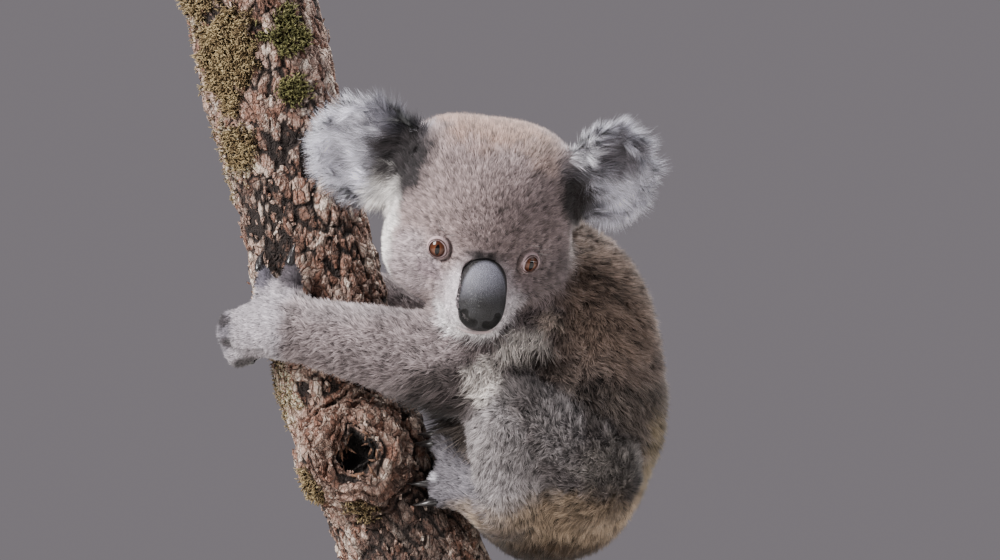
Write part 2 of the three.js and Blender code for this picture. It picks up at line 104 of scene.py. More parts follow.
# %% Select a piece, name it, modify it
def alone(piece):
    """Makes a piece the only selected and the active one, in object mode."""
    if bpy.context.object and bpy.context.object.mode != "OBJECT":
        bpy.ops.object.mode_set(mode="OBJECT")
    bpy.ops.object.select_all(action="DESELECT")
    piece.select_set(True)
    bpy.context.view_layer.objects.active = piece


def named(name):
    """The primitive that was just added, under its own name."""
    piece = bpy.context.object
    piece.name = piece.data.name = name
    return piece


def modified(piece, kind, **settings):
    """Adds a modifier with its settings and applies it."""
    alone(piece)
    modifier = piece.modifiers.new(kind.title(), kind)
    for name, value in settings.items():
        setattr(modifier, name, value)
    bpy.ops.object.modifier_apply(modifier=modifier.name)


print(len(bpy.context.selected_objects), "pieces are selected after loading")

# %% [markdown]
# ## One skin
#
# On the animal a single loose skin covers flesh and bone. It could be sculpted from a cube, but then it would
# have to be fitted to the solids. Instead the flesh solids are copied, swollen a little so that the thin cuts
# between them close, and voxel remeshed into one body. Rounds of smoothing take away their facets.

# %% Join the flesh solids
FLESH = ["neck", "chest", "belly", "rump", "muzzle", "head", "ear_left", "ear_right"]
for side in ("left", "right"):
    FLESH += [f"arm_{side}_upper", f"arm_{side}_fore", f"hand_{side}"]
    FLESH += [f"leg_{side}_thigh", f"leg_{side}_shin", f"foot_{side}"]
SWELLING, SKIN_VOXEL = 0.9 * MM, 2.7 * MM

bpy.ops.object.select_all(action="DESELECT")
for name in FLESH:
    copy = bpy.data.objects.new(f"flesh_{name}", nodes[name].data.copy())
    bpy.context.collection.objects.link(copy)
    copy.select_set(True)
    bpy.context.view_layer.objects.active = copy
bpy.ops.object.join()
skin = named("skin")
skin.data.materials.clear()
alone(skin)
bpy.ops.object.mode_set(mode="EDIT")
bpy.ops.mesh.select_all(action="SELECT")
bpy.ops.mesh.remove_doubles(threshold=1e-5)
bpy.ops.transform.shrink_fatten(value=SWELLING)
bpy.ops.object.mode_set(mode="OBJECT")
modified(skin, "REMESH", mode="VOXEL", voxel_size=SKIN_VOXEL)
print(len(skin.data.polygons), "faces in one body")

# %% [markdown]
# ## A mesh as arrays of numbers
#
# Skin, fur and bark have far too many points to move by hand. Read into arrays, they can all be moved in one sum,
# and then written back. Places are read in millimetres, because small whole numbers are easier to picture.

# %% Read and move the points of a mesh
def read(mesh, what, name, width, kind=float):
    """One property of all vertices, edges or triangles as an array with so many columns."""
    values = np.empty(len(getattr(mesh, what)) * width, kind)
    getattr(mesh, what).foreach_get(name, values)
    return values.reshape(-1, width) if width > 1 else values


def places(mesh):
    """The vertices, in millimetres."""
    return read(mesh, "vertices", "co", 3) / MM


def set_places(mesh, points):
    """Moves the vertices to places given in millimetres."""
    mesh.vertices.foreach_set("co", (points * MM).astype(np.float32).ravel())
    mesh.update()


def corners(mesh):
    """The triangles, as rows of three vertices."""
    mesh.calc_loop_triangles()
    return read(mesh, "loop_triangles", "vertices", 3, np.int32)


print("the skin measures", np.round(np.ptp(places(skin.data), axis=0)), "mm")

# %% [markdown]
# The most useful stroke in sculpting is smoothing: each point drifts towards the mean of its neighbours. The
# same drift works on anything that is kept at the points, such as a length or a colour. All neighbours are found
# once, and packed in one long list, so that a round of smoothing is a single sum.

# %% Find neighbours and smooth
def links_of(mesh):
    """Each vertex's neighbours, packed end to end, with where each vertex's run begins and how long it is."""
    pairs = read(mesh, "edges", "vertices", 2, np.int32)
    pairs = np.vstack([pairs, pairs[:, ::-1]])
    pairs = pairs[np.argsort(pairs[:, 0], kind="stable")]
    starts = np.searchsorted(pairs[:, 0], np.arange(len(mesh.vertices)))
    return pairs[:, 1], starts, np.diff(np.append(starts, len(pairs)))


def relaxed(values, links, rounds, share=0.5):
    """Values that drift towards the mean of their neighbours, round after round."""
    others, starts, counts = links
    for _ in range(rounds):
        mean = np.add.reduceat(values[others], starts, axis=0) / counts.reshape((-1,) + (1,) * (values.ndim - 1))
        values = values + share * (mean - values)
    return values


raw = places(skin.data)
links = links_of(skin.data)
print("a point has", round(links[2].mean(), 1), "neighbours")

# %% [markdown]
# The fur differs from part to part, so each point of the skin must know which part it lies on. The nearest
# point of a solid tells that. The answer is kept as shares that are smoothed over the mesh, so that length and
# colour run from one part into the next with no line between them.

# %% Which part each point of the skin lies on
randomness = np.random.default_rng(7)


def doubled_areas(points, triangles):
    """Twice the area of each triangle, which serves as well as the area to weigh them."""
    a, b, c = (points[triangles[:, k]] for k in range(3))
    return np.linalg.norm(np.cross(b - a, c - a), axis=1)


def random_spots(weight, count):
    """Triangles picked at random by weight, and in each a spot: its shares of the second and the third corner."""
    chosen = randomness.choice(len(weight), count, p=weight / weight.sum())
    u, v = randomness.random((2, count, 1))
    over = u + v > 1
    return chosen, np.where(over, 1 - u, u), np.where(over, 1 - v, v)


def scattered(points, triangles, gap):
    """Points strewn over triangles, one for each square of that gap."""
    area = doubled_areas(points, triangles) / 2
    chosen, u, v = random_spots(area, int(area.sum() / gap**2) + 1)
    a, b, c = (points[triangles[:, k]] for k in range(3))
    return a[chosen] + u * (b - a)[chosen] + v * (c - a)[chosen]


STREWN_GAP = 4.5
strewn = [scattered(places(nodes[name].data), corners(nodes[name].data), STREWN_GAP) for name in FLESH]
owners = np.repeat(np.arange(len(FLESH)), [len(s) for s in strewn])
finder = KDTree(len(owners))
for index, point in enumerate(np.vstack(strewn)):
    finder.insert(point, index)
finder.balance()


def shares_at(points):
    """Which part each point lies nearest, as a row of ones and zeros."""
    nearest = owners[[finder.find(point)[1] for point in points]]
    return (nearest[:, None] == np.arange(len(FLESH))).astype(float)


shares = relaxed(shares_at(raw), links, 8)
print(len(owners), "points strewn over", len(FLESH), "solids")

# %% [markdown]
# The remeshed body still has the solids' facets. Many rounds of smoothing take them off the back and the limbs.
# Paws, ears and muzzle would lose their shape so, and get only a few rounds.

# %% Smooth the skin
def share_of(shares, start):
    """How much of each point belongs to the parts whose names begin so."""
    return shares[:, [k for k, name in enumerate(FLESH) if name.startswith(start)]].sum(axis=1)


smooth = relaxed(raw, links, 34)
gentle = relaxed(raw, links, 7)
fine = np.clip(sum(share_of(shares, start) for start in ("hand", "foot", "ear", "muzzle")), 0, 1)[:, None]
set_places(skin.data, smooth + fine * (gentle - smooth))
print("skin area", round(sum(f.area for f in skin.data.polygons), 3), "square metres")

# %% [markdown]
# The face needs finer faces than the back: eyelids and lips are thinner than a voxel. Subdividing only the
# faces near the eyes and the mouth, as one would by hand, adds points where they are needed.

# %% More faces round the eyes and the mouth
def pick(piece, test, kind="faces"):
    """Enters edit mode with only those faces or vertices selected whose place, in metres, passes the test."""
    alone(piece)
    bpy.ops.object.mode_set(mode="EDIT")
    bpy.ops.mesh.select_mode(type={"faces": "FACE", "verts": "VERT"}[kind])
    bpy.ops.mesh.select_all(action="DESELECT")
    bpy.ops.object.mode_set(mode="OBJECT")
    parts = piece.data.polygons if kind == "faces" else piece.data.vertices
    for part in parts:
        part.select = bool(test(part.center if kind == "faces" else part.co))
    bpy.ops.object.mode_set(mode="EDIT")


eye_spots = {side: out_of_head(place) for side, place in EYES.items()}
mouth_spot = out_of_head((0, -62, -38))
for reach, mouth_reach in ((19, 30), (14, 0)):
    near = [(spot * MM, reach * MM) for spot in eye_spots.values()] + [(mouth_spot * MM, mouth_reach * MM)]
    pick(skin, lambda place: any((place - spot).length < far for spot, far in near))
    bpy.ops.mesh.subdivide(number_cuts=1)
    bpy.ops.object.mode_set(mode="OBJECT")
links = links_of(skin.data)
shares = relaxed(shares_at(places(skin.data)), links, 8)
print(len(skin.data.vertices), "points after refining")

# %% [markdown]
# ## How deep the fur is
#
# The solids reach to the tips of the fur, so the skin must lie deeper by the fur's own depth: most of a
# centimetre on the back, and little on the fingers and round the nose. One table holds this together with the
# tuft's length and width and how far it stands out, because they belong together.

# %% The fur's measures, part by part, in millimetres
# Depth, length and width in millimetres, and lift: 0 lies flat and 1 stands upright.
FUR = {
    "head": (3.4, 5.6, 0.62, 0.50),
    "muzzle": (2.2, 3.8, 0.50, 0.40),
    "ear": (8.5, 17.0, 0.46, 0.26),
    "neck": (8.0, 10.5, 0.95, 0.64),
    "chest": (8.0, 10.5, 1.00, 0.64),
    "belly": (8.0, 13.0, 1.30, 0.54),
    "rump": (8.0, 10.5, 1.00, 0.64),
    "arm_upper": (6.6, 9.5, 0.90, 0.60),
    "arm_fore": (5.2, 7.6, 0.80, 0.58),
    "hand": (2.4, 5.0, 0.75, 0.42),
    "leg_thigh": (6.6, 8.8, 0.90, 0.64),
    "leg_shin": (5.6, 7.8, 0.80, 0.60),
    "foot": (2.6, 6.0, 0.80, 0.45),
}


def row_for(table, solid):
    """A solid's row in a table that makes no difference between left and right."""
    return table[solid.replace("_left", "").replace("_right", "")]


even = shares / shares.sum(axis=1, keepdims=True)
depth, length, width, lift = (even @ np.array([row_for(FUR, name) for name in FLESH])).T

outer = places(skin.data)
outward = read(skin.data, "vertices", "normal", 3)
depth = relaxed(depth, links, 10)
inner = outer - outward * depth[:, None]
inner = relaxed(inner, links, 2)
print("skin lies", round(depth.min(), 1), "to", round(depth.max(), 1), "mm under the tips")

# %% [markdown]
# ## Eyelids and lips
#
# A koala's eye is small and round, with a thin pink rim. The lid hugs the ball, so near each eye the skin is
# moved onto a sphere just larger than the eye, and inside the opening it goes behind the ball. These moves are
# done in code, like strokes in sculpting.

# %% Shape the eyelids
EYE_RADIUS = 9.5
GAZE = {"left": (0.42, -1, -0.02), "right": (-0.36, -1, 0.02)}
LID_OPENING = {"left": (6.2, 7.2), "right": (6.9, 7.3)}
LID_THICKNESS, TUCKED_IN = 0.7, 1.8


def eased_step(x, low, high):
    """Goes smoothly from 0 at low to 1 at high."""
    t = np.clip((x - low) / (high - low), 0, 1)
    return t * t * (3 - 2 * t)


def eye_frame(side):
    """Across, up and ahead for an eye, as rows, in the head's own frame."""
    ahead = Vector(GAZE[side]).normalized()
    across = ahead.cross(Vector((0, 0, -1))).normalized()
    return np.array([across, across.cross(ahead) * -1, ahead])


local = in_head(inner)
eye_reach = np.full(len(local), 9.0)
for side, place in EYES.items():
    offset = (local - np.array(place)) @ eye_frame(side).T
    wide, tall = LID_OPENING[side]
    ring = np.hypot(offset[:, 0] / wide, offset[:, 1] / tall)
    ring = np.where((offset[:, 2] > -6) & (abs(offset[:, 2]) < 22), ring, 9)
    aside = (offset[:, :2] ** 2).sum(axis=1)
    lid = np.sqrt(np.maximum((EYE_RADIUS + LID_THICKNESS) ** 2 - aside, 4))
    behind = np.sqrt(np.maximum(EYE_RADIUS**2 - aside, 1)) - TUCKED_IN
    wanted = np.where(ring < 0.88, behind, lid)
    hold = 1 - eased_step(ring, 1.3, 2.2)
    offset[:, 2] += hold * (wanted - offset[:, 2])
    local = np.array(place) + offset @ eye_frame(side)
    eye_reach = np.minimum(eye_reach, ring)
print(int((eye_reach < 1).sum()), "points lie behind the eyes")

# %% [markdown]
# The mouth is a short line under the nose with a fuller lower lip. A soft groove is pressed along that line, and
# the lip below it is drawn a little forward.

# %% Shape the mouth
LIP_LINE, LIP_CURVE = -39.5, 0.012
mouth_height = LIP_LINE + LIP_CURVE * local[:, 0] ** 2
front = eased_step(-local[:, 1], 44, 54)
at_mouth = front * (1 - eased_step(abs(local[:, 0]), 9, 18))
to_line = local[:, 2] - mouth_height
groove = at_mouth * np.exp(-((to_line / 1.5) ** 2))
lower_lip = at_mouth * np.exp(-(((to_line + 3.2) / 2.0) ** 2))
local[:, 1] += 2.6 * groove - 1.2 * lower_lip
print("the groove takes in", int((groove > 0.5).sum()), "points")

# %% [markdown]
# A soft belly leans against the trunk that it hugs, and the tip of an ear hangs by its own weight. Each move is
# faded by where a point lies, so it begins and ends without a step. Then the skin is done, and takes the place of
# the flesh solids.

# %% Lean the belly and hang the ear
def round_about(points, centre, radii):
    """1 inside an ellipsoid, fading to 0 outside it."""
    return np.exp(-(np.linalg.norm((points - centre) / radii, axis=1) ** 4))


BELLY_LEANS, EAR_HANGS = 13, (-7.0, 0.0, -10.0)
inner = moved(local, HEAD)
at_trunk = round_about(inner, (-4, -10, 230), (26, 52, 30))
at_trunk *= share_of(shares, "belly") + share_of(shares, "chest")
inner[:, 0] -= BELLY_LEANS * at_trunk
hanging = share_of(shares, "ear_left") * eased_step(inner[:, 0], 84, 150)
inner += hanging[:, None] * EAR_HANGS
set_places(skin.data, inner)
alone(skin)
bpy.ops.object.shade_smooth()
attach(skin, "root")
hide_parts(*FLESH)
print(len(skin.data.polygons), "faces, the belly moved by up to", round(BELLY_LEANS * at_trunk.max(), 1), "mm")

# %% [markdown]
# ## Smooth chance
#
# Nothing on an animal or a tree is even. Most of what follows leans on one kind of random number: smooth over a few
# millimetres, and the same every time for the same place. A random number stands at each crossing of a grid, and
# the places between them take the mean of the eight around.

# %% Random grain
def lattice(cells, seed):
    """A repeatable random number from -1 to 1 for each cell of a grid. The long numbers only mix its digits."""
    cells = cells.astype(np.int64)
    mixed = cells[:, 0] * 73856093 ^ cells[:, 1] * 19349663 ^ cells[:, 2] * 83492791 ^ seed * 2654435761
    mixed = (mixed ^ (mixed >> 13)) * 1274126177 & 0x7FFFFFFF
    mixed = (mixed ^ (mixed >> 15)) * 668265263 & 0x7FFFFFFF
    return mixed / 0x3FFFFFFF - 1


def grain(points, size, seed=0):
    """Smooth random values from -1 to 1 whose features are about size wide."""
    scaled = points / size
    cell = np.floor(scaled)
    part = scaled - cell
    part = part * part * (3 - 2 * part)
    total = np.zeros(len(points))
    for corner in np.ndindex(2, 2, 2):
        share = np.prod(np.where(corner, part, 1 - part), axis=1)
        total += share * lattice(cell + corner, seed)
    return total


print("grain on the skin goes from", np.round(np.percentile(grain(inner, 9), (0, 100)), 2))

# %% [markdown]
# ## The markings
#
# From the side a koala looks plain grey, but close up it is mottled. Each part has a ground colour, and soft-edged
# patches lie over it. The colours are kept at the points of the mesh, so no picture has to be wrapped round the
# body. Skin and fur both take their colours from here, so a gap between tufts never shows.

# %% Ground colours
GROUND = {
    "head": (138, 122, 121),
    "muzzle": (158, 147, 150),
    "ear": (206, 204, 216),
    "neck": (118, 103, 94),
    "chest": (120, 105, 97),
    "belly": (98, 88, 82),
    "rump": (134, 121, 109),
    "arm_upper": (104, 93, 93),
    "arm_fore": (136, 124, 125),
    "hand": (160, 153, 159),
    "leg_thigh": (96, 89, 89),
    "leg_shin": (138, 132, 133),
    "foot": (104, 100, 106),
}
print(len(GROUND), "ground colours")

# %% [markdown]
# The patches are brown over the crown and white under the chin and in the ears. The root of each ear is nearly
# black, partly from dark fur and partly as painted shade, and the hollow of each ear is painted dark as painted
# shade. On the left side of the face, which lies in shade, the cheek and the white of the muzzle are painted
# darker as painted shade, and the right cheek is painted paler as painted light. Each patch has a centre, three
# radii, a colour and a strength. Those of the head are given in its own frame, so they would turn with it.

# %% Patches on the head
HEAD_PATCHES = {
    "brown crown": ((0, 22, 100), (58, 62, 26), (142, 113, 99), 0.75),
    "brown forehead right": ((36, -12, 80), (24, 22, 18), (146, 122, 110), 0.5),
    "pale brow": ((0, -44, 34), (24, 20, 16), (162, 148, 148), 0.5),
    # The roots of the ears are dark fur, darkened further as painted shade.
    "root of the left ear": ((62, -10, 54), (24, 30, 27), (34, 28, 28), 1.0),
    "root of the right ear": ((-68, -10, 62), (29, 30, 37), (34, 29, 31), 1.0),
    "pale cheek fringe right": ((-74, 2, -8), (17, 38, 60), (240, 235, 232), 1.0),
    # Painted shade in the hollows of the ears.
    "dark arc in the right ear": ((-80, -12, 92), (26, 26, 12), (74, 72, 82), 0.85),
    "dark middle of the left ear": ((94, -8, 84), (27, 26, 20), (68, 62, 68), 0.9),
    "white tuft in the left ear": ((64, -14, 88), (11, 22, 10), (226, 224, 232), 0.8),
    # Painted shade on the koala's left side of the face, and painted light on its right cheek.
    "pale cheek fringe left": ((76, 2, 8), (14, 30, 34), (190, 180, 176), 0.6),
    "right cheek": ((-50, -40, -8), (26, 26, 30), (168, 156, 160), 0.6),
    "left cheek": ((52, -36, -18), (30, 32, 36), (106, 95, 95), 0.8),
    "shade under the right eye": ((-37, -52, -6), (13, 14, 8), (128, 112, 118), 0.6),
    "shade under the left eye": ((34, -54, -10), (12, 14, 9), (112, 98, 100), 0.6),
    "white muzzle right": ((-18, -66, -38), (16, 30, 17), (226, 220, 224), 0.95),
    "pale streak by the nose": ((-19, -70, -14), (7, 26, 24), (206, 196, 202), 0.8),
    # The white muzzle on the left is painted greyer, as painted shade.
    "white muzzle left": ((24, -66, -28), (15, 30, 22), (196, 188, 192), 0.9),
    "white chin": ((0, -60, -52), (28, 30, 17), (235, 230, 232), 1.0),
    "jaw": ((0, -20, -56), (50, 40, 20), (150, 140, 138), 0.7),
    "dark line over the nose": ((2, -74, 16.0), (23, 16, 6.5), (24, 20, 22), 1.0),
}
print(len(HEAD_PATCHES), "patches on the head")

# %% [markdown]
# The body is brown on the shoulders, tan on the rump, and pale on the forearms and the shins. Painted shade darkens
# the creases by the knee and the seat, the elbow, the gaps between the fingers and the fur under the arm and the
# hand, and painted light brightens the top of the arm and the flank. These patches are given in the world.

# %% Patches on the body
BODY_PATCHES = {
    "tan rump": ((80, 4, 152), (95, 170, 32), (150, 130, 108), 0.85),
    "dark seat": ((66, 4, 116), (90, 140, 26), (62, 46, 30), 0.95),
    "pale grey patch": ((104, -74, 196), (34, 34, 15), (146, 140, 136), 0.7),
    "pale grey patch behind": ((104, 82, 196), (34, 34, 15), (146, 140, 136), 0.7),
    "olive rim of the back": ((152, 4, 196), (22, 80, 50), (128, 114, 86), 0.6),
    "brown shoulder": ((112, -40, 318), (50, 60, 56), (118, 99, 86), 0.7),
    "brown far shoulder": ((112, 56, 318), (50, 60, 56), (118, 99, 86), 0.7),
    "white tuft on the back": ((150, -12, 340), (9, 12, 8), (225, 220, 214), 0.9),
    "brown spot on the arm": ((-38, -72, 330), (16, 26, 9), (120, 92, 76), 0.6),
    # Painted light on the top of the arm, and painted shade at the elbow.
    "pale top of the arm": ((-86, -80, 318), (60, 40, 16), (160, 150, 152), 0.6),
    "dark elbow": ((-10, -84, 256), (46, 40, 24), (66, 58, 57), 0.85),
    "dark wrist": ((-168, -78, 276), (22, 26, 12), (96, 88, 90), 0.6),
    "white chest": ((22, -50, 292), (44, 40, 42), (176, 168, 164), 0.8),
    "chest lock": ((50, -92, 286), (26, 34, 18), (222, 214, 208), 0.95),
    "lower chest lock": ((16, -90, 262), (18, 34, 20), (216, 208, 203), 0.95),
    "pale collar": ((68, -96, 308), (14, 34, 14), (176, 160, 148), 0.7),
    # Painted shade in the creases by the knee.
    "dark crease over the knee": ((62, -88, 276), (30, 44, 10), (56, 46, 42), 0.8),
    "dark crease behind the knee": ((96, -88, 254), (13, 44, 20), (52, 44, 41), 0.85),
    "lit flank": ((74, -100, 226), (24, 40, 30), (136, 130, 130), 0.7),
    "dark knee": ((44, -110, 252), (22, 34, 14), (74, 68, 68), 0.7),
    # Painted shade in the crease by the seat.
    "dark crease by the seat": ((102, -88, 230), (10, 44, 20), (66, 58, 54), 0.7),
    "grey behind the knee": ((112, -74, 196), (34, 44, 24), (122, 115, 110), 0.7),
    "shade under the arm": ((-20, -40, 234), (30, 70, 22), (40, 33, 31), 0.95),
    "white chest behind": ((10, 50, 280), (44, 40, 60), (176, 168, 164), 0.7),
    "pale belly": ((2, 30, 210), (30, 40, 70), (150, 144, 140), 0.7),
    "bright shin": ((24, -104, 176), (30, 26, 30), (152, 146, 148), 0.7),
    "dark finger ends": ((-190, -30, 298), (13, 44, 24), (94, 90, 99), 0.85),
    "first opposed finger": ((-158, -50, 341), (15, 40, 15), (84, 80, 90), 1.0),
    "second opposed finger": ((-134, -56, 345), (14, 40, 17), (66, 60, 66), 1.0),
    # Painted shade in the gaps between the fingers.
    "gap between the fingers": ((-186, -30, 306), (10, 30, 5), (52, 47, 51), 0.9),
    "lower gap between the fingers": ((-182, -30, 289), (10, 30, 5), (44, 38, 40), 0.9),
    "shade under the hand": ((-164, -40, 272), (24, 40, 7), (46, 42, 42), 0.9),
    "white toes": ((-30, -70, 216), (11, 40, 6), (200, 198, 206), 0.9),
    "white lower toes": ((-28, -76, 184), (12, 40, 6), (200, 198, 206), 0.9),
    "dark heel": ((40, -76, 138), (26, 30, 12), (88, 80, 78), 0.6),
}
print(len(BODY_PATCHES), "patches on the body")

# %% [markdown]
# Each patch is mixed over what is there already, like glazes of paint, and grain makes its edge ragged. Colours are
# given as a screen shows them, from 0 to 255. Shaders need them in linear light, so they are converted.

# %% Mix the markings
def colour(red, green, blue):
    """An sRGB colour of 0 to 255 as the linear colour that a shader takes."""
    return tuple(((c / 255 + 0.055) / 1.055) ** 2.4 if c > 10 else c / 3295 for c in (red, green, blue))


def weighed(patches, points):
    """For each patch, how much of it there is at each point, and its colour."""
    for centre, radii, tint, strength in patches.values():
        away = np.linalg.norm((points - np.array(centre)) / np.array(radii), axis=1)
        away += 0.16 * grain(points, 9, 5) + 0.1 * grain(points, 4, 6)
        yield strength * (1 - eased_step(away, 0.62, 1.16)), np.array(colour(*tint))


def markings(points, shares):
    """The coat's linear colour at world places in millimetres."""
    grounds = np.array([colour(*row_for(GROUND, name)) for name in FLESH])
    tint = shares @ grounds / shares.sum(axis=1, keepdims=True)
    on_head = share_of(shares, "head") + share_of(shares, "muzzle") + share_of(shares, "ear")
    on_head = np.clip(on_head, 0, 1)
    for amount, other in weighed(BODY_PATCHES, points):
        tint += ((1 - on_head) * amount)[:, None] * (other - tint)
    for amount, other in weighed(HEAD_PATCHES, in_head(points)):
        tint += (np.clip(on_head * 1.4, 0, 1) * amount)[:, None] * (other - tint)
    return tint


tint = markings(inner, shares)
print("mean colour of the coat", np.round(tint.mean(axis=0), 3))

# %% [markdown]
# ## The lie of the coat
#
# Fur lies like grass in the wind: back from the nose over the face, down the back, and along each limb from joint
# to joint. A direction is given for each part, smoothed over the whole skin, and laid flat on it, so that the fur
# turns gently from one part to the next.

# %% Comb the skin
def unit(vectors):
    """Each row at length one."""
    return vectors / np.maximum(np.linalg.norm(vectors, axis=-1, keepdims=True), 1e-9)


outward = unit(relaxed(read(skin.data, "vertices", "normal", 3), links, 3))
LIMBS = {
    "arm_left": [(54, -44, 314), (-4, -68, 272), (-133, -77, 301), (-186, -30, 300)],
    "arm_right": [(60, 56, 316), (-8, 82, 286), (-108, 80, 330), (-160, 50, 345)],
    "leg_left": [(92, -56, 190), (42, -80, 226), (32, -62, 162), (-26, -43, 182)],
    "leg_right": [(92, 64, 183), (42, 88, 219), (32, 70, 155), (-26, 51, 175)],
}
nose_world = np.array(out_of_head((0, -92, -2)))
flow = {
    "head": inner - nose_world,
    "muzzle": inner - nose_world,
    "neck": np.broadcast_to((0.75, 0.0, -0.65), inner.shape),
    "chest": np.broadcast_to((0.25, 0.0, -1.0), inner.shape),
    "belly": np.broadcast_to((0.05, 0.0, -1.0), inner.shape),
    "rump": np.broadcast_to((-0.3, 0.0, -1.0), inner.shape),
}
EAR_ROOTS = {"left": (54, 10, 50), "right": (-54, 10, 50)}
EAR_DROOP = {"left": (0.1, 0, -0.75), "right": (-0.2, 0, -0.3)}
for side in ("left", "right"):
    flow[f"ear_{side}"] = unit(inner - np.array(out_of_head(EAR_ROOTS[side]))) + np.array(EAR_DROOP[side])
    for limb, parts in (("arm", ("upper", "fore", "hand")), ("leg", ("thigh", "shin", "foot"))):
        joints = np.array(LIMBS[f"{limb}_{side}"], float)
        for k, part in enumerate(parts):
            name = f"{part}_{side}" if part in ("hand", "foot") else f"{limb}_{side}_{part}"
            along = joints[k + 1] - joints[k] + (np.array((0, 0, -24.0)) if k < 2 else 0)
            flow[name] = np.broadcast_to(along, inner.shape)

lie = sum(shares[:, [k]] * unit(np.asarray(flow[name], float)) for k, name in enumerate(FLESH))
swirl = np.stack([grain(inner, 26, seed) for seed in (11, 12, 13)], axis=1)
lie = relaxed(lie + 0.28 * swirl, links, 12)
lie = unit(lie - outward * (lie * outward).sum(axis=1, keepdims=True))
print("combed", len(lie), "points")

# %% [markdown]
# Length is not even inside a part either. On a koala the fur is shortest round the eyes and on the nose,
# longer over the crown, shaggy on the chest, and longest at the rim of the ears, where it stands out as a
# ragged fringe.

# %% Length from place to place
head_places = in_head(inner)
on_face = np.clip(share_of(shares, "head") + share_of(shares, "muzzle"), 0, 1)
from_eyes = np.min([np.linalg.norm(head_places - np.array(p), axis=1) for p in EYES.values()], axis=0)
from_nose = np.linalg.norm((head_places - np.array((0, -74, -10))) / (1, 1, 1.3), axis=1)
near_bare = np.minimum(eased_step(from_eyes, 10, 32), eased_step(from_nose, 17, 42))
length *= 1 - on_face * (1 - near_bare) * 0.62
crown = on_face * eased_step(head_places[:, 2], 60, 95)
length *= 1 + 0.35 * crown
shaggy = round_about(inner, (40, -66, 285), (34, 30, 30))
length *= 1 + 0.8 * shaggy
shaggy = np.maximum(shaggy, round_about(inner, (14, -80, 262), (26, 34, 30)))
for name in (n for n in nodes if n.startswith("claw_")):
    from_claw = np.linalg.norm(inner - places(nodes[name].data).mean(axis=0), axis=1)
    length *= 1 - 0.5 * (1 - eased_step(from_claw, 7, 16))
lift = lift + 0.1 * shaggy
under_arm = share_of(shares, "arm_left") * eased_step(-outward[:, 2], 0.1, 0.6)
under_arm *= np.exp(-((abs(inner[:, 0] + 16) / 34) ** 4))
length *= 1 + 1.5 * under_arm
apron = eased_step(-outward[:, 0], 0.25, 0.6) * (share_of(shares, "belly") + share_of(shares, "chest"))
apron *= np.exp(-((abs(inner[:, 2] - 226) / 36) ** 4))
length *= 1 + 1.7 * apron
lift = lift + 0.2 * apron
for side in ("left", "right"):
    from_ear_root = (head_places - np.array(EAR_ROOTS[side]))[:, [0, 2]]
    rim = shares[:, FLESH.index(f"ear_{side}")] * eased_step(np.linalg.norm(from_ear_root, axis=1), 26, 58)
    length *= 1 + 0.12 * rim
    lift = lift - 0.06 * rim
under_nose = np.hypot((head_places[:, 0] - 1.1) / 12.6, (head_places[:, 2] + 12) / 20.5) < 1
under_nose &= head_places[:, 1] < -55
bare = (eye_reach < 1.26) | under_nose | (at_mouth * (abs(to_line + 1.0) < 3.0) > 0.5)
print("fur is", round(length.min(), 1), "to", round(length.max(), 1), "mm long")

# %% [markdown]
# ## Tufts
#
# Particle hair is lost when a model is exported, so each tuft is a small closed solid. Thousands of them are
# built as one mesh from arrays. For the bake, each tuft needs a patch in an unwrap. Unwrapping tufts one by one
# would take hours, so the skin under them is unwrapped, and each tuft gets a small patch at its root's place.

# %% Build a mesh and unwrap it
def mesh_of(name, points, triangles):
    """A new piece from vertices in millimetres and rows of three vertices."""
    mesh = bpy.data.meshes.new(name)
    mesh.vertices.add(len(points))
    mesh.loops.add(triangles.size)
    mesh.polygons.add(len(triangles))
    mesh.vertices.foreach_set("co", (points * MM).astype(np.float32).ravel())
    mesh.loops.foreach_set("vertex_index", triangles.astype(np.int32).ravel())
    mesh.polygons.foreach_set("loop_start", np.arange(0, triangles.size, 3, dtype=np.int32))
    mesh.polygons.foreach_set("use_smooth", np.ones(len(triangles), bool))
    mesh.update(calc_edges=True)
    piece = bpy.data.objects.new(name, mesh)
    bpy.context.collection.objects.link(piece)
    return piece


def paint(mesh, name, values):
    """Keeps a number or a colour at each vertex, for a material to read."""
    if values.ndim == 1:
        layer = mesh.attributes.new(name, "FLOAT", "POINT")
        layer.data.foreach_set("value", values.astype(np.float32))
    else:
        layer = mesh.attributes.new(name, "FLOAT_COLOR", "POINT")
        full = np.hstack([values, np.ones((len(values), 1))])
        layer.data.foreach_set("color", full.astype(np.float32).ravel())


def unwrapped(name, points, triangles):
    """Corner places on an unwrap of these triangles' own shape."""
    piece = mesh_of(name, points, triangles)
    alone(piece)
    bpy.ops.object.mode_set(mode="EDIT")
    bpy.ops.mesh.select_all(action="SELECT")
    bpy.ops.mesh.remove_doubles(threshold=1e-6)
    bpy.ops.uv.smart_project(angle_limit=math.radians(70), island_margin=0.004)
    bpy.ops.object.mode_set(mode="OBJECT")
    flat = np.empty(len(piece.data.loops) * 2)
    piece.data.uv_layers.active.data.foreach_get("uv", flat)
    bpy.data.objects.remove(piece)
    return flat.reshape(-1, 3, 2)


skin_triangles = corners(skin.data)
print(len(skin_triangles), "triangles of skin")

# %% [markdown]
# A tuft has three sides that run to a point. Coarser growth, such as moss, has rings between and so bends over. It
# keeps how far along it each point is, so that a material can darken its root and light its tip.

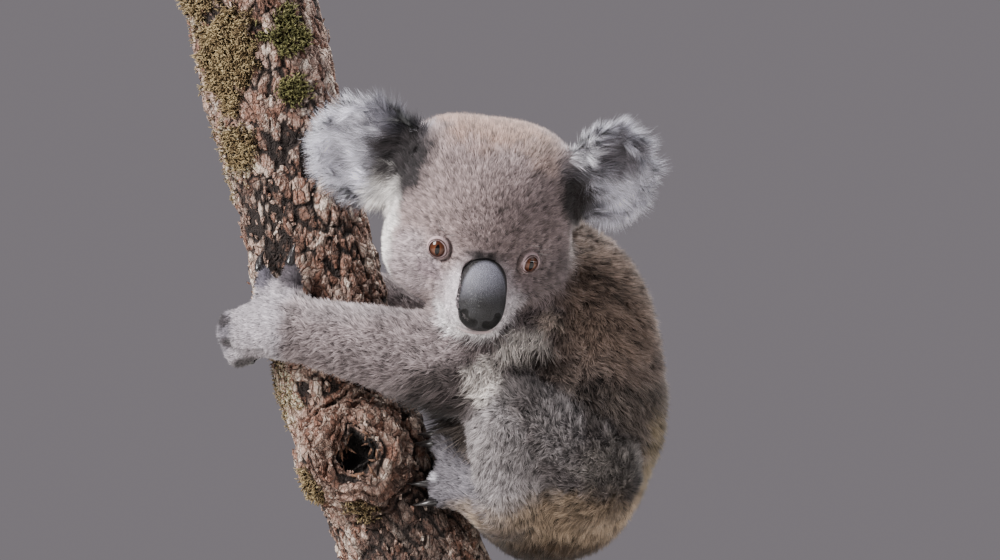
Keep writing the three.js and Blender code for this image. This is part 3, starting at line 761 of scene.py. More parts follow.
# %% Join spikes as one piece
def spikes(name, root, up, ahead, reach, rise, broad, lean, rings):
    """Closed three-sided spikes joined as one piece. Each rises, then bends over ahead, and tapers to a point."""
    stops = np.arange(rings + 2) / (rings + 1)
    side = unit(np.cross(ahead, up))
    layers = []
    for t in stops:
        forward = ahead * (reach * t)[:, None]
        middle = root + forward + up * (rise * (1 - (1 - t) ** 2.2))[:, None] + lean * t
        half = (broad * (1 - 0.5 * t) / 2)[:, None]
        if t == 1:
            layers.append(middle)
            continue
        foot = middle - up * (0.6 if t == 0 else 0.0)
        layers += [foot - side * half, foot + side * half, foot + (0.9 * up - 0.5 * ahead) * half]
    points = np.stack(layers, axis=1)
    per = points.shape[1]

    faces = [(0, 2, 1)]
    for low in range(0, 3 * rings, 3):
        for k in range(3):
            across = (k + 1) % 3
            faces += [(low + k, low + across, low + 3 + across), (low + k, low + 3 + across, low + 3 + k)]
    faces += [(per - 4 + k, per - 4 + (k + 1) % 3, per - 1) for k in range(3)]
    faces = np.array(faces)[:, ::-1]
    everything = (faces[None] + per * np.arange(len(root))[:, None, None]).reshape(-1, 3)
    piece = mesh_of(name, points.reshape(-1, 3), everything)
    paint(piece.data, "along", np.tile(np.append(np.repeat(stops[:-1], 3), 1.0), len(root)))
    return piece, per, faces


print("triangles in a tuft with 0, 1 and 2 rings:", [4 + 6 * rings for rings in range(3)])

# %% [markdown]
# Woolly fur stands in clumps, because its tips cling together. Space is cut into cells with a middle each, and a
# place belongs to the nearest middle. The same cells serve for the plates of bark.

# %% Clumps
def clumps(points, size, seed=0):
    """Each point's clump: its middle, its own random number, and how far the point is from the next clump."""
    cell = np.floor(points / size)
    best = np.full(len(points), 1e9)
    second = np.full(len(points), 1e9)
    middle = np.zeros_like(points)
    own = np.zeros(len(points))
    for step in np.ndindex(3, 3, 3):
        near = cell + np.array(step) - 1
        jitter = np.stack([lattice(near, seed + k) for k in (1, 2, 3)], axis=1)
        centre = (near + 0.5 + 0.45 * jitter) * size
        away = np.linalg.norm(points - centre, axis=1)
        closer = away < best
        second = np.where(closer, best, np.minimum(second, away))
        best = np.where(closer, away, best)
        middle[closer] = centre[closer]
        own = np.where(closer, lattice(near, seed + 4), own)
    return middle, own, second - best


print("the skin has", len(np.unique(clumps(inner, 7.5)[1])), "clumps of 7.5 mm")

# %% [markdown]
# One piece of coat covers one part of the skin. Roots are strewn at random, more where the tufts are short. Each
# tuft follows the lie of the coat with a turn of its own, and its tip leans towards the middle of its clump. It
# takes its colour from the markings at its root, and a tone of its own for the grizzled look.

# %% Make the fur of one part
TUFT_PATCH, LOCK, FLECK = 0.0015, 7.5, 2.4


def comb(name, parts, count, woolly, where=None):
    """One piece of coat: tufts over the parts of the skin whose names begin so."""
    mine = sum(share_of(shares, part) for part in parts) > 0.5
    mine &= ~bare if where is None else ~bare & where
    triangles = skin_triangles[mine[skin_triangles].mean(axis=1) > 0.5]
    flat = unwrapped(f"{name}_flat", inner, triangles)
    crowding = doubled_areas(inner, triangles) / length[triangles].mean(axis=1)
    chosen, u, v = random_spots(crowding, count)
    weights = np.stack([1 - u - v, u, v], axis=1)

    def at_root(values):
        values = values.reshape(len(values), -1)
        return (values[triangles[chosen]] * weights).sum(axis=1)

    root, up, ahead = at_root(inner), unit(at_root(outward)), unit(at_root(lie))
    spread = randomness.normal(0, 0.2, (2, count))
    side = unit(np.cross(ahead, up))
    swirling = woolly * (1.3 * grain(root, 8, 21) + 1.1 * grain(root, 4, 22))
    ahead = unit(ahead + side * (spread[0] + swirling)[:, None])
    long = at_root(length)[:, 0] * randomness.uniform(0.7, 1.15, count)
    middle, own, _ = clumps(root, 0.9 * np.median(long) ** 0.8, 3)
    raised = np.clip(at_root(lift)[:, 0] * (1 + spread[1] + 0.25 * woolly * own), 0.12, 0.85)
    pull = (middle - root) - up * ((middle - root) * up).sum(axis=1, keepdims=True)
    lean = pull * (0.15 + 0.35 * woolly)
    reach, rise = long * np.sqrt(1 - raised**2), long * raised
    broad = at_root(width)[:, 0] * randomness.uniform(0.75, 1.2, count)

    piece, per, faces = spikes(name, root, up, ahead, reach, rise, broad, lean, 0)

    spots = (flat[chosen] * weights).sum(axis=1)
    turn = 2 * np.pi * np.arange(per) / per
    petals = TUFT_PATCH * np.stack([np.cos(turn), np.sin(turn)], axis=1)
    patch = (spots[:, None] + petals[None])[:, faces.ravel()].reshape(-1, 2)
    piece.data.uv_layers.new(name="OFBake").data.foreach_set("uv", patch.astype(np.float32).ravel())

    rooted_shares = at_root(shares)
    paint(piece.data, "coat", np.repeat(markings(root, rooted_shares), per, axis=0))
    lock, fleck = clumps(root, LOCK, 4)[1], clumps(root, FLECK, 5)[1]
    tone = 0.2 * own + 0.4 * woolly * lock + 0.62 * fleck + 0.25 * randomness.normal(0, 1, count)
    paint(piece.data, "tone", np.repeat(tone, per))
    piece.data.materials.append(fur_material)
    soft = unit(np.repeat(up, per, axis=0) + 0.7 * read(piece.data, "vertices", "normal", 3))
    piece.data.normals_split_custom_set_from_vertices(soft)
    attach(piece, "root")
    print(f"{name}: {len(faces) * count} triangles on {len(triangles)} faces of skin")


print(int(bare.sum()), "points of skin stay bare")

# %% [markdown]
# ## Shader sums as Python
#
# A procedural material is a sum of noises, masks and mixes. Written node by node it is long and hard to read, so
# one small class wraps a node's output. Adding or multiplying two of them adds a Math node, and `make` adds any
# other node: its settings are set first, and then its inputs get a value or a link.

# %% The socket wrapper
class Wire:
    """An output socket in a material. Sums of wires add Math nodes."""

    def __init__(self, tree, socket=None):
        self.tree = tree
        self.socket = socket

    def make(self, kind, settings=None, inputs=None, out=0):
        node = self.tree.nodes.new("ShaderNode" + kind)
        for name, value in (settings or {}).items():
            if name == "stops":
                elements = node.color_ramp.elements
                while len(elements) < len(value):
                    elements.new(0.5)
                for element, (place, colour) in zip(elements, value):
                    element.position = place
                    element.color = (*colour, 1)
            else:
                setattr(node, name, value)
        for name, value in (inputs or {}).items():
            if isinstance(value, Wire):
                self.tree.links.new(value.socket, node.inputs[name])
            else:
                node.inputs[name].default_value = value
        return Wire(self.tree, node.outputs[out])

    def sum(self, operation, a, b=0.0):
        return self.make("Math", {"operation": operation}, {0: a, 1: b})

    def __add__(self, other):
        return self.sum("ADD", self, other)

    __radd__ = __add__

    def __mul__(self, other):
        return self.sum("MULTIPLY", self, other)

    __rmul__ = __mul__

    def __sub__(self, other):
        return self.sum("SUBTRACT", self, other)

    def __rsub__(self, other):
        return self.sum("SUBTRACT", other, self)

    def __pow__(self, other):
        return self.sum("POWER", self, other)

    def noise(self, places, size, detail=3.0, out=0):
        """Noise whose features are about size metres wide."""
        return self.make("TexNoise", {}, {"Vector": places, "Scale": 1 / size, "Detail": detail}, out)

    def between(self, low, high):
        """From 0 where this is low to 1 where it is high, smoothly."""
        settings = {"interpolation_type": "SMOOTHSTEP"}
        return self.make("MapRange", settings, {"Value": self, "From Min": low, "From Max": high})

    def cracks(self, places, size):
        """How far a place is from the edge of its cell, among cells about size metres wide."""
        return self.make("TexVoronoi", {"feature": "DISTANCE_TO_EDGE"}, {"Vector": places, "Scale": 1 / size})

    def kept(self, name, out="Fac"):
        """What was painted on the mesh under that name: Fac for a number, Color or Vector for three."""
        return self.make("Attribute", {"attribute_name": name}, {}, out)

    def part(self, axis):
        """One of the three numbers of a place."""
        return self.make("SeparateXYZ", {}, {0: self}, axis)

    def blend(self, first, second):
        """A colour: first where this is 0, second where it is 1."""
        return self.make("Mix", {"data_type": "RGBA"}, {0: self, 6: first, 7: second}, 2)

    def shading(self, tint):
        """A colour made darker or lighter by this number."""
        grey = self.make("CombineColor", {}, {0: self, 1: self, 2: self})
        return self.make("Mix", {"data_type": "RGBA", "blend_type": "MULTIPLY"}, {0: 1.0, 6: tint, 7: grey}, 2)


print("a wire has", [name for name in vars(Wire) if not name.startswith("_")])

# %% [markdown]
# Every material begins and ends in the same way. What stays the same all over is set straight on the shader's
# sockets. What varies comes over a wire. A height goes through a Bump node, which makes small relief without faces.

# %% Begin and finish a material
def rgba(red, green, blue):
    """A colour with an alpha of one, as a colour socket takes it."""
    return (*colour(red, green, blue), 1)


def new_material(name, **constants):
    """A material whose shader's own sockets hold the constants, with a wire to start from."""
    material = bpy.data.materials.new(name)
    material.use_nodes = True
    shader = material.node_tree.nodes["Principled BSDF"]
    for socket, value in constants.items():
        shader.inputs[socket.replace("_", " ")].default_value = value
    start = Wire(material.node_tree)
    return material, start, start.make("TexCoord", {}, {}, "Object")


def finish_with(material, **wires):
    """Links wires to the shader's sockets. Height goes through a Bump node, as (wire, depth in metres)."""
    tree = material.node_tree
    shader = tree.nodes["Principled BSDF"]
    for name, wire in wires.items():
        if name == "Height":
            height, depth = wire
            wire = height.make("Bump", {}, {"Height": height, "Distance": depth, "Strength": 1.0})
            name = "Normal"
        tree.links.new(wire.socket, shader.inputs[name.replace("_", " ")])


print("a mid grey is", np.round(rgba(128, 128, 128), 3))

# %% [markdown]
# ## What the fur is made of
#
# A hair is darker at its root and pale at its tip, and no two tufts have quite the same tone, which is what makes a
# grizzled coat. The dark roots are partly the hair's own colour and partly painted shade deep in the coat. The
# numbers that each tuft keeps drive its colour. The skin under it has the same colours, painted darker as painted
# shade under the fur, with a short nap in its bump, and is bare and pink at the lids and the lower lip. Its mouth's
# groove is painted darker and the bare skin under the nose pad nearly black, as painted shade.

# %% Fur and skin materials
fur_material, start, _ = new_material("fur", Roughness=0.72, Sheen_Weight=0.12, Specular_IOR_Level=0.25)
tone, along = start.kept("tone"), start.kept("along")
# Darker at the root: the hair's own colour, and painted shade deep in the coat.
shade = (0.52 + 0.66 * along.between(0.0, 0.75)) * (1.0 + 0.85 * tone)
pale_tip = along.between(0.6, 1.0) * tone.between(0.0, 1.4) * 0.35
finish_with(fur_material, Base_Color=pale_tip.blend(shade.shading(start.kept("coat", "Color")), rgba(205, 200, 202)))

skin_material, start, object_places = new_material("skin_under_the_fur", Roughness=0.8)
nap = start.noise(object_places, 0.0016, 4)
mottle = start.noise(object_places, 0.007, 2)
# The skin is painted darker than the coat, as painted shade under the fur.
shade = 0.55 + 0.4 * nap + 0.3 * mottle
finish_with(skin_material, Base_Color=shade.shading(start.kept("coat", "Color")), Height=(nap, 0.0008))
skin.data.materials.append(skin_material)

for share, bare_tint in (
    (1 - eased_step(eye_reach, 1.2, 1.5), colour(196, 170, 172)),
    (1 - eased_step(eye_reach, 0.9, 1.0), colour(70, 50, 48)),
    (0.6 * np.clip(lower_lip, 0, 1), colour(186, 150, 150)),
):
    tint = tint + share[:, None] * (np.array(bare_tint) - tint)
# Painted shade: the mouth's groove is darkened, and the bare skin under the nose pad made nearly black.
tint = tint * (1 - 0.6 * groove[:, None]) * (1 - 0.93 * under_nose[:, None])
paint(skin.data, "coat", tint)
print("materials", [m.name for m in bpy.data.materials if m.name in ("fur", "skin_under_the_fur")])

# %% [markdown]
# Now the coat is laid, one part after the other. Straight tufts take few faces, so there can be many of them. The
# head is laid in two halves, so that no piece gets too heavy to export.

# %% Lay the coat
comb("coat_head_left", ["head"], 46000, 0.15, head_places[:, 0] > 0)
comb("coat_head_right", ["head"], 46000, 0.15, head_places[:, 0] <= 0)
comb("coat_muzzle", ["muzzle"], 15000, 0.1)
comb("coat_ears", ["ear"], 48000, 1.0)
comb("coat_neck_and_chest", ["neck", "chest"], 44000, 1.0)
comb("coat_belly", ["belly"], 14000, 1.0)
comb("coat_rump", ["rump"], 33000, 1.0)
comb("coat_arms", ["arm"], 46000, 0.8)
comb("coat_legs", ["leg"], 43000, 1.0)
comb("coat_hands_and_feet", ["hand", "foot"], 27000, 0.4)

# %% [markdown]
# ## Eyes
#
# A koala's eye is brown with an upright slit for a pupil, and wet, so it catches one bright light. Each point keeps
# the way it looks from the middle of the ball. How far that is from straight ahead tells the pupil, the iris and
# the dark rest of the ball apart. A clear coat gives the wet shine.

# %% The eye's colours
eye_material, start, _ = new_material(
    "eye", Roughness=0.3, Coat_Weight=0.7, Coat_Roughness=0.03, Specular_IOR_Level=0.05
)
looks = start.kept("looks", "Vector")
across, upward = looks.part(0), looks.part(1)
from_middle = (across * across + upward * upward) ** 0.5
slit = ((across * 5.4) ** 2.0 + (upward * 2.2) ** 2.0) ** 0.5
streaks = start.make("TexNoise", {"noise_dimensions": "3D"}, {"Vector": looks, "Scale": 22.0, "Detail": 4.0}, 0)
iris = (from_middle + 0.12 * streaks).between(0.12, 0.62).blend(rgba(112, 66, 42), rgba(70, 38, 24))
ball = from_middle.between(0.58, 0.74).blend(iris, rgba(30, 19, 17))
finish_with(eye_material, Base_Color=slit.between(0.92, 1.06).blend(rgba(6, 5, 5), ball))
print(len(eye_material.node_tree.nodes), "nodes in the eye's material")

# %% [markdown]
# A sphere is the simplest start. Its front is pulled out into a slightly steeper cornea with proportional editing,
# which moves the points around the chosen ones a little less the farther they are. Then the ball is turned to its
# gaze and set in the head.

# %% Model the eyeballs
def matrix_of(across, up, ahead, place):
    """A matrix whose X, Y and Z columns are these directions, at a place in millimetres."""
    columns = Matrix((across, up, ahead)).transposed().to_4x4()
    return Matrix.Translation(Vector(place) * MM) @ columns


def done(piece, place=None):
    """Leaves edit mode, and puts the piece where the matrix says, with its place in its mesh."""
    alone(piece)
    if place is not None:
        piece.matrix_world = place @ piece.matrix_world
    bpy.ops.object.transform_apply(location=True, rotation=True, scale=True)
    bpy.ops.object.shade_smooth()


def eye_axes(side):
    """The eye's own directions, in the world."""
    return [HEAD_TURN.to_3x3() @ Vector(row) for row in eye_frame(side)]


CORNEA, PUPIL_ASIDE = 0.5, 0.09
for side, place in EYES.items():
    bpy.ops.object.select_all(action="DESELECT")
    bpy.ops.mesh.primitive_uv_sphere_add(segments=48, ring_count=32, radius=EYE_RADIUS * MM)
    eye = named(f"eyeball_{side}")
    pick(eye, lambda place: place.z > 0.96 * EYE_RADIUS * MM, "verts")
    bpy.ops.transform.translate(
        value=(0, 0, CORNEA * MM),
        use_proportional_edit=True,
        proportional_edit_falloff="SMOOTH",
        proportional_size=6 * MM,
    )
    bpy.ops.object.mode_set(mode="OBJECT")
    looks = unit(places(eye.data))
    looks[:, 0] -= PUPIL_ASIDE if side == "right" else -PUPIL_ASIDE
    paint(eye.data, "looks", looks)
    eye.data.materials.append(eye_material)
    done(eye, matrix_of(*eye_axes(side), out_of_head(place)))
    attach(eye, "root")
    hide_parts(f"eye_{side}")
    print(eye.name, "in its solid", np.round(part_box(f"eye_{side}"), 3).tolist())

# %% [markdown]
# The rim of the lid is bare and pink. A thin torus, squeezed to the shape of the opening, lies between the ball
# and the fur and hides where the skin goes behind the eye.

# %% Lid rims
rim_material, start, object_places = new_material("lid_rim", Roughness=0.38)
wet = start.noise(object_places, 0.0012)
finish_with(rim_material, Base_Color=wet.blend(rgba(56, 40, 39), rgba(88, 66, 65)), Height=(wet, 0.0003))
for side, place in EYES.items():
    wide, tall = LID_OPENING[side]
    bpy.ops.object.select_all(action="DESELECT")
    bpy.ops.mesh.primitive_torus_add(major_segments=40, minor_segments=10, major_radius=MM, minor_radius=0.1 * MM)
    rim = named(f"lid_rim_{side}")
    pick(rim, lambda place: True, "verts")
    bpy.ops.transform.resize(value=(wide + 0.1, tall + 0.1, 6.5))
    bpy.ops.object.mode_set(mode="OBJECT")
    inner_corner = np.array((1 if side == "right" else -1, -0.35))
    spots = places(rim.data)
    lean = np.clip(unit(spots[:, :2]) @ unit(inner_corner), 0, 1) ** 6
    spots[:, :2] += lean[:, None] * unit(inner_corner) * 0.8
    spots[:, 2] -= 0.6 * lean
    set_places(rim.data, spots)
    rim.data.materials.append(rim_material)
    lift_out = math.sqrt(max((EYE_RADIUS + 0.3) ** 2 - ((wide + tall) / 2) ** 2, 0))
    axes = eye_axes(side)
    done(rim, matrix_of(*axes, out_of_head(place) + axes[2] * lift_out))
    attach(rim, "root")
print("rims stand", round(lift_out, 1), "mm ahead of the middle of the eye")

# %% [markdown]
# ## The nose
#
# The nose pad is a big spoon of bare leather that runs down from between the eyes. A sphere is stretched to the
# pad's size, made blunter at both ends so that they are full and round, and bent back at its foot.

# %% Model the nose pad
NOSE_LEAN = -27
nose_places = places(nodes["nose"].data)
nose_turn = HEAD_TURN @ Matrix.Rotation(math.radians(NOSE_LEAN), 4, "X")
nose_frame = Matrix.Translation(out_of_head(NOSE_AT)) @ nose_turn
in_nose = moved(nose_places, nose_frame.inverted())
low, high = in_nose.min(axis=0), in_nose.max(axis=0)
half = (high - low) / 2 * (1.05, 1.05, 1.09)

bpy.ops.object.select_all(action="DESELECT")
bpy.ops.mesh.primitive_uv_sphere_add(segments=40, ring_count=30, radius=MM)
nose = named("nose_leather")
pick(nose, lambda place: True, "verts")
bpy.ops.transform.rotate(value=math.radians(90), orient_axis="X", center_override=(0, 0, 0))
bpy.ops.transform.resize(value=tuple(half))
bpy.ops.object.mode_set(mode="OBJECT")
spots = places(nose.data)
downward = -spots[:, 2] / half[2]
blunter = np.maximum(1 - abs(downward) ** 3, 0) ** 0.45 / np.sqrt(np.maximum(1 - downward**2, 0.01))
spots[:, 0] *= blunter + 0.03 * downward
spots[:, 1] += 1.5 * eased_step(downward, 0.2, 1.0) * (spots[:, 1] < 0)
set_places(nose.data, spots)
print("nose pad", np.round(high - low), "mm")

# %% [markdown]
# The pad ends in two comma-shaped nostrils. They are pressed in with a soft stroke along each comma, as a sculptor
# would with the end of a tool. A subdivision surface first gives the stroke enough points. What was pressed is kept
# on the mesh, so the leather can be rougher there and painted nearly black, as painted shade in the holes.

# %% Press in the nostrils
NOSTRIL = [(4.5, -22.4), (6.8, -22.4), (9.0, -21.8), (11.0, -20.2), (12.4, -17.8), (12.8, -15.2)]
modified(nose, "SUBSURF", levels=2, render_levels=2)
spots = places(nose.data)
round_edge = np.hypot(spots[:, 0] / half[0], spots[:, 2] / half[2])
paint(nose.data, "edge", eased_step(round_edge, 0.84, 0.97) * eased_step(spots[:, 2], -0.3 * half[2], 0.3 * half[2]))
from_nostril = np.min([np.hypot(abs(spots[:, 0]) - x, spots[:, 2] - z) for x, z in NOSTRIL], axis=0)
front_side = spots[:, 1] < 0
paint(nose.data, "nostril", (1 - eased_step(from_nostril, 2.4, 3.6)) * front_side)
spots[:, 1] += 2.0 * (1 - eased_step(from_nostril, 0.4, 4.0)) * front_side
set_places(nose.data, spots)
print("nostrils take in", int((from_nostril < 3.6).sum()), "points")

# %% [markdown]
# The leather is finely pebbled and nearly black. Its top is painted grey as a painted highlight where the light
# falls on it, and its foot is painted dark as painted shade. The pebbles are cells of noise, dark in the gaps between
# them. Between them the leather is rougher, as it is damp only here and there.

# %% Leather
NOSE_SHIFT = Vector((1.4, -2.0, -3.0))
nose_material, start, object_places = new_material("nose_leather", Roughness=0.42)
pebbles = start.cracks(object_places, 0.0011)
broad_tone = start.noise(object_places, 0.012, 2)
# Painted highlight: the top of the pad is painted grey, and its foot dark as painted shade.
painted_light_from_top = object_places.part(2).between(0.319, 0.346)
nostril = start.kept("nostril")
leather = (painted_light_from_top * 0.95 + 0.2 * (broad_tone - 0.4)).blend(rgba(13, 12, 13), rgba(142, 142, 156))
leather = (0.6 - 0.6 * pebbles.between(0.0, 0.22)).blend(leather, rgba(30, 28, 32))
leather = start.kept("edge").blend(leather, rgba(20, 18, 20))
# Painted shade: the nostrils are painted nearly black.
leather = nostril.blend(leather, rgba(6, 4, 4))
finish_with(
    nose_material,
    Base_Color=leather,
    Roughness=0.36 + 0.16 * broad_tone + 0.5 * nostril,
    Height=(pebbles.between(0.0, 0.4), 0.00025),
)
nose.data.materials.append(nose_material)
middle = Vector((low + high) / 2) + NOSE_SHIFT
done(nose, Matrix.Translation(nose_frame.translation * MM) @ nose_turn @ Matrix.Translation(middle * MM))
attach(nose, "root")
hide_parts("nose")
print(len(nose.data.polygons), "faces in the nose")

# %% [markdown]
# ## Claws
#
# Koala claws are long, curved and pressed flat from side to side, dark horn with a paler tip. One claw is
# extruded ring by ring from a circle, turning and shrinking a little each time, then merged to a point. Each
# finger gets its own copy, stood on the line of its solid and hooked towards the trunk.

# %% Model one claw
CLAW_RADIUS = 5.6
STEPS, STEP, TURN = 10, 2.3 * MM, math.radians(7)

bpy.ops.object.select_all(action="DESELECT")
bpy.ops.mesh.primitive_circle_add(vertices=14, radius=CLAW_RADIUS * MM, fill_type="NGON")
claw = named("claw_pattern")
pick(claw, lambda place: True)
bpy.ops.transform.resize(value=(1.15, 0.8, 1))
centre, heading = Vector((0, 0, 0)), Vector((0, 0, 1))
for step in range(STEPS):
    centre += heading * STEP
    bpy.ops.mesh.extrude_region_move(TRANSFORM_OT_translate={"value": heading * STEP})
    heading.rotate(Matrix.Rotation(TURN, 3, "Y"))
    bpy.ops.transform.rotate(value=-TURN, orient_axis="Y", center_override=centre)
    shrink = 1 - (step + 2.2) / (STEPS + 7)
    bpy.ops.transform.resize(value=(shrink**0.5, shrink**0.5, shrink**0.5), center_override=centre)
bpy.ops.mesh.merge(type="CENTER")
bpy.ops.object.mode_set(mode="OBJECT")
modified(claw, "SUBSURF", levels=1, render_levels=1)
pattern = places(claw.data)
paint(claw.data, "along", np.clip(pattern[:, 2] / pattern[:, 2].max(), 0, 1))
claw_tip = pattern[np.argmax(pattern[:, 2] + 0.4 * pattern[:, 0])]
claw_reach = float(np.linalg.norm(claw_tip))
print("claw reaches", np.round(claw_tip, 1))

# %% [markdown]
# A solid claw is a plain hooked cone, so its long axis is the direction in which its points spread most, and
# its tip is the end where they are closest together. That is all a copy needs to find its place.

# %% Set a claw on every finger and toe
SUNK = 5.0
TRUNK_AXIS = [(-19, 70), (-63, 162), (-97, 242), (-116, 322), (-132, 402), (-152, 482), (-173, 574)]
claw_material, start, object_places = new_material("claw_horn", Roughness=0.3, Coat_Weight=0.3, Coat_Roughness=0.2)
streak = start.noise(object_places, 0.0015, 3)
horn = start.kept("along").between(0.1, 0.9).blend(rgba(24, 22, 23), rgba(58, 54, 54))
horn = (streak.between(0.55, 0.8) * 0.35).blend(horn, rgba(140, 135, 136))
finish_with(claw_material, Base_Color=horn, Height=(streak, 0.0002))

for name in sorted(n for n in nodes if n.startswith("claw_")):
    cloud = places(nodes[name].data)
    paw_name = name.replace("claw_", "").rsplit("_", 1)[0]
    paw = np.mean(np.array(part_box(paw_name)) / MM, axis=0)
    middle = cloud.mean(axis=0)
    main = np.linalg.svd(cloud - middle, full_matrices=False)[2][0]
    t = (cloud - middle) @ main
    if np.dot(main, middle - paw) < 0:
        main, t = -main, -t
    tip = cloud[np.argmax(t)]
    start_place = middle + main * (t.min() - SUNK)
    heading = unit(tip - start_place)
    across_to = np.array([np.interp(tip[2], *np.array(TRUNK_AXIS).T[::-1]), 0, tip[2]]) - tip
    hook = unit(across_to - heading * np.dot(across_to, heading))
    fit = float(np.linalg.norm(tip - start_place)) / claw_reach
    lean = math.atan2(claw_tip[0], claw_tip[2])
    turned = Matrix.Rotation(-lean, 4, "Y") @ Matrix.Diagonal((1, 1, fit, 1))
    copy = bpy.data.objects.new(name.replace("claw_", "horn_"), claw.data.copy())
    bpy.context.collection.objects.link(copy)
    copy.data.materials.append(claw_material)
    stand_on = matrix_of(Vector(hook), Vector(heading).cross(Vector(hook)), Vector(heading), start_place)
    done(copy, stand_on @ turned)
    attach(copy, "root")
    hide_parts(name)
bpy.data.objects.remove(claw)
print("claws set, the last one", round(fit, 2), "of the pattern's length")

# %% [markdown]
# ## The trunk
#
# The trunk is a stout leaning stem. Its solid is copied and voxel remeshed, which gives even points all over, close
# enough together to carve bark in. A displacement texture would do the same, but it can't be steered as well.

# %% Remesh the trunk
BARK_VOXEL = 1.7 * MM
bark = bpy.data.objects.new("bark", nodes["perch_log"].data.copy())
bpy.context.collection.objects.link(bark)
bark.data.materials.clear()
alone(bark)
bpy.ops.object.mode_set(mode="EDIT")
bpy.ops.mesh.select_all(action="SELECT")
bpy.ops.mesh.remove_doubles(threshold=1e-5)
bpy.ops.object.mode_set(mode="OBJECT")
modified(bark, "REMESH", mode="VOXEL", voxel_size=BARK_VOXEL)
bark_links = links_of(bark.data)
wood = relaxed(places(bark.data), bark_links, 14)
set_places(bark.data, wood)
bark_out = unit(relaxed(read(bark.data, "vertices", "normal", 3), bark_links, 2))
print(len(wood), "points on the trunk")

# %% [markdown]
# The bark is old and flaking: small plates stand at different heights with dark cracks between them. Each point
# moves in or out by a sum of plates, chips, cracks and rough grain. The plates are clumps, drawn out along the
# trunk and bent by a slow grain, so that no two are alike.

# %% Plates and cracks
axis_x, axis_z = np.array(TRUNK_AXIS, float).T
from_axis = np.stack([wood[:, 0] - np.interp(wood[:, 2], axis_z, axis_x), wood[:, 1], wood[:, 2]], axis=1)
stretched = from_axis * (1, 1, 0.5)
warp = np.stack([grain(stretched, 9, k) for k in (31, 32, 33)], axis=1) * 3.0
_, plate, crack = clumps(stretched + warp, 10.5, 41)
_, chip, chip_gap = clumps(stretched + 0.5 * warp, 4.2, 51)
rough = grain(from_axis, 3.2, 61) + 0.6 * grain(from_axis, 1.9, 62)

cracked = 1 - eased_step(crack, 0.2, 2.2)
print(round(100 * cracked.mean()), "per cent of the bark is crack")

# %% [markdown]
# The stump of a broken branch makes a burl, with ridges round a dark hollow and a swollen lip. How far a point is
# from the middle of the hollow drives them all. The sawn ends stay flat. All these numbers are kept on the mesh, so
# the colours follow the carving.

# %% Burl, hollow and sawn ends
HOLLOW_AT, MIDDLE_HEIGHT = np.array((-80, -60, 204)), 320
from_hollow = wood - HOLLOW_AT
burl_round = np.hypot(from_hollow[:, 0], 0.85 * from_hollow[:, 2]) + 7.5 * grain(from_axis, 15, 63)
around = np.arctan2(from_hollow[:, 2], from_hollow[:, 0])
on_burl = eased_step(-wood[:, 1], 30, 46) * (1 - eased_step(burl_round, 42, 56))
hollow = (1 - eased_step(burl_round, 6, 19)) * eased_step(-wood[:, 1], 20, 34)
ridges = np.sin(burl_round * 0.95 + around + 2.2 * grain(from_axis, 13, 64))

height = 1.2 * plate + 0.6 * chip - 2.1 * cracked - 0.4 * (1 - eased_step(chip_gap, 0.2, 1.3)) + 0.25 * rough
lip = np.exp(-(((burl_round - 31) / 9) ** 2)) * eased_step(-wood[:, 1], 24, 44)
height = height * (1 - 0.4 * on_burl) + on_burl * (2.9 * ridges + 0.9 * rough) + 1.6 * grain(from_axis, 34, 65)
height += 7.0 * lip - 12.0 * hollow * (0.8 + 0.3 * grain(from_axis, 6, 66))
near_end = abs(wood[:, 2] - MIDDLE_HEIGHT) > 235
sawn = eased_step(abs(bark_out[:, 2]), 0.82, 0.93) * near_end
height *= 1 - 0.9 * sawn
set_places(bark.data, wood + bark_out * height[:, None])
carving = {
    "height": np.clip(height / 4 + 0.5, 0, 1),
    "plate": 0.5 + 0.3 * plate + 0.2 * chip,
    "hollow": hollow,
    "burl": on_burl * (0.75 - 0.25 * ridges),
    "sawn": sawn,
    "off_axis": from_axis * (MM, MM, 0),
}
for name, values in carving.items():
    paint(bark.data, name, values)
print(len(bark.data.polygons), "faces of bark, cut in", round(height.min(), 1), "to", round(height.max(), 1), "mm")

# %% [markdown]
# Lichen and moss grow on the side that the rain reaches, here the left of the trunk. Where they grow is worked
# out once, as a share at each point, and used both for the bark's colour and for planting the moss.

# %% Where moss and lichen grow
LICHEN = [
    ((-150, -20, 262), (22, 44, 56), 1.0),
    ((-176, -10, 440), (20, 44, 50), 0.8),
    ((-212, -20, 560), (22, 40, 30), 0.9),
]
MOSS = [
    ((-186, -40, 512), (26, 40, 44), 1.0),
    ((-204, -24, 562), (22, 40, 16), 0.7),
    ((-176, -34, 446), (14, 30, 22), 0.6),
    ((-84, -66, 158), (24, 16, 12), 0.6),
    ((-120, -56, 176), (14, 20, 16), 0.5),
]
GREEN = [
    ((-142, -44, 530), (22, 26, 20), 1.0),
    ((-132, -50, 488), (16, 16, 12), 0.9),
    ((-160, -30, 566), (20, 26, 12), 0.6),
]
# Painted shade on the bark: patches low on the trunk's right and beside the koala are painted darker.
BARK_SHADE = [((-44, -40, 140), (46, 60, 66), 1.0), ((-60, -30, 300), (22, 60, 40), 0.7)]


def patch_share(patches, points):
    """How much lies at each point, from 0 to 1, in patches with a ragged edge: moss and lichen that grow, or painted
    shade.
    """
    total = np.zeros(len(points))
    for centre, radii, strength in patches:
        away = np.linalg.norm((points - np.array(centre)) / np.array(radii), axis=1)
        away += 0.35 * grain(points, 14, 71) + 0.25 * grain(points, 6, 72)
        total = np.maximum(total, strength * (1 - eased_step(away, 0.7, 1.1)))
    return total


lichen, moss, green = (patch_share(patches, wood) for patches in (LICHEN, MOSS, GREEN))
for name, values in (("lichen", lichen), ("damp", patch_share(BARK_SHADE, wood)), ("moss", np.maximum(moss, green))):
    paint(bark.data, name, values)
print("lichen on", int((lichen > 0.5).sum()), "points, moss on", int((moss > 0.5).sum()))
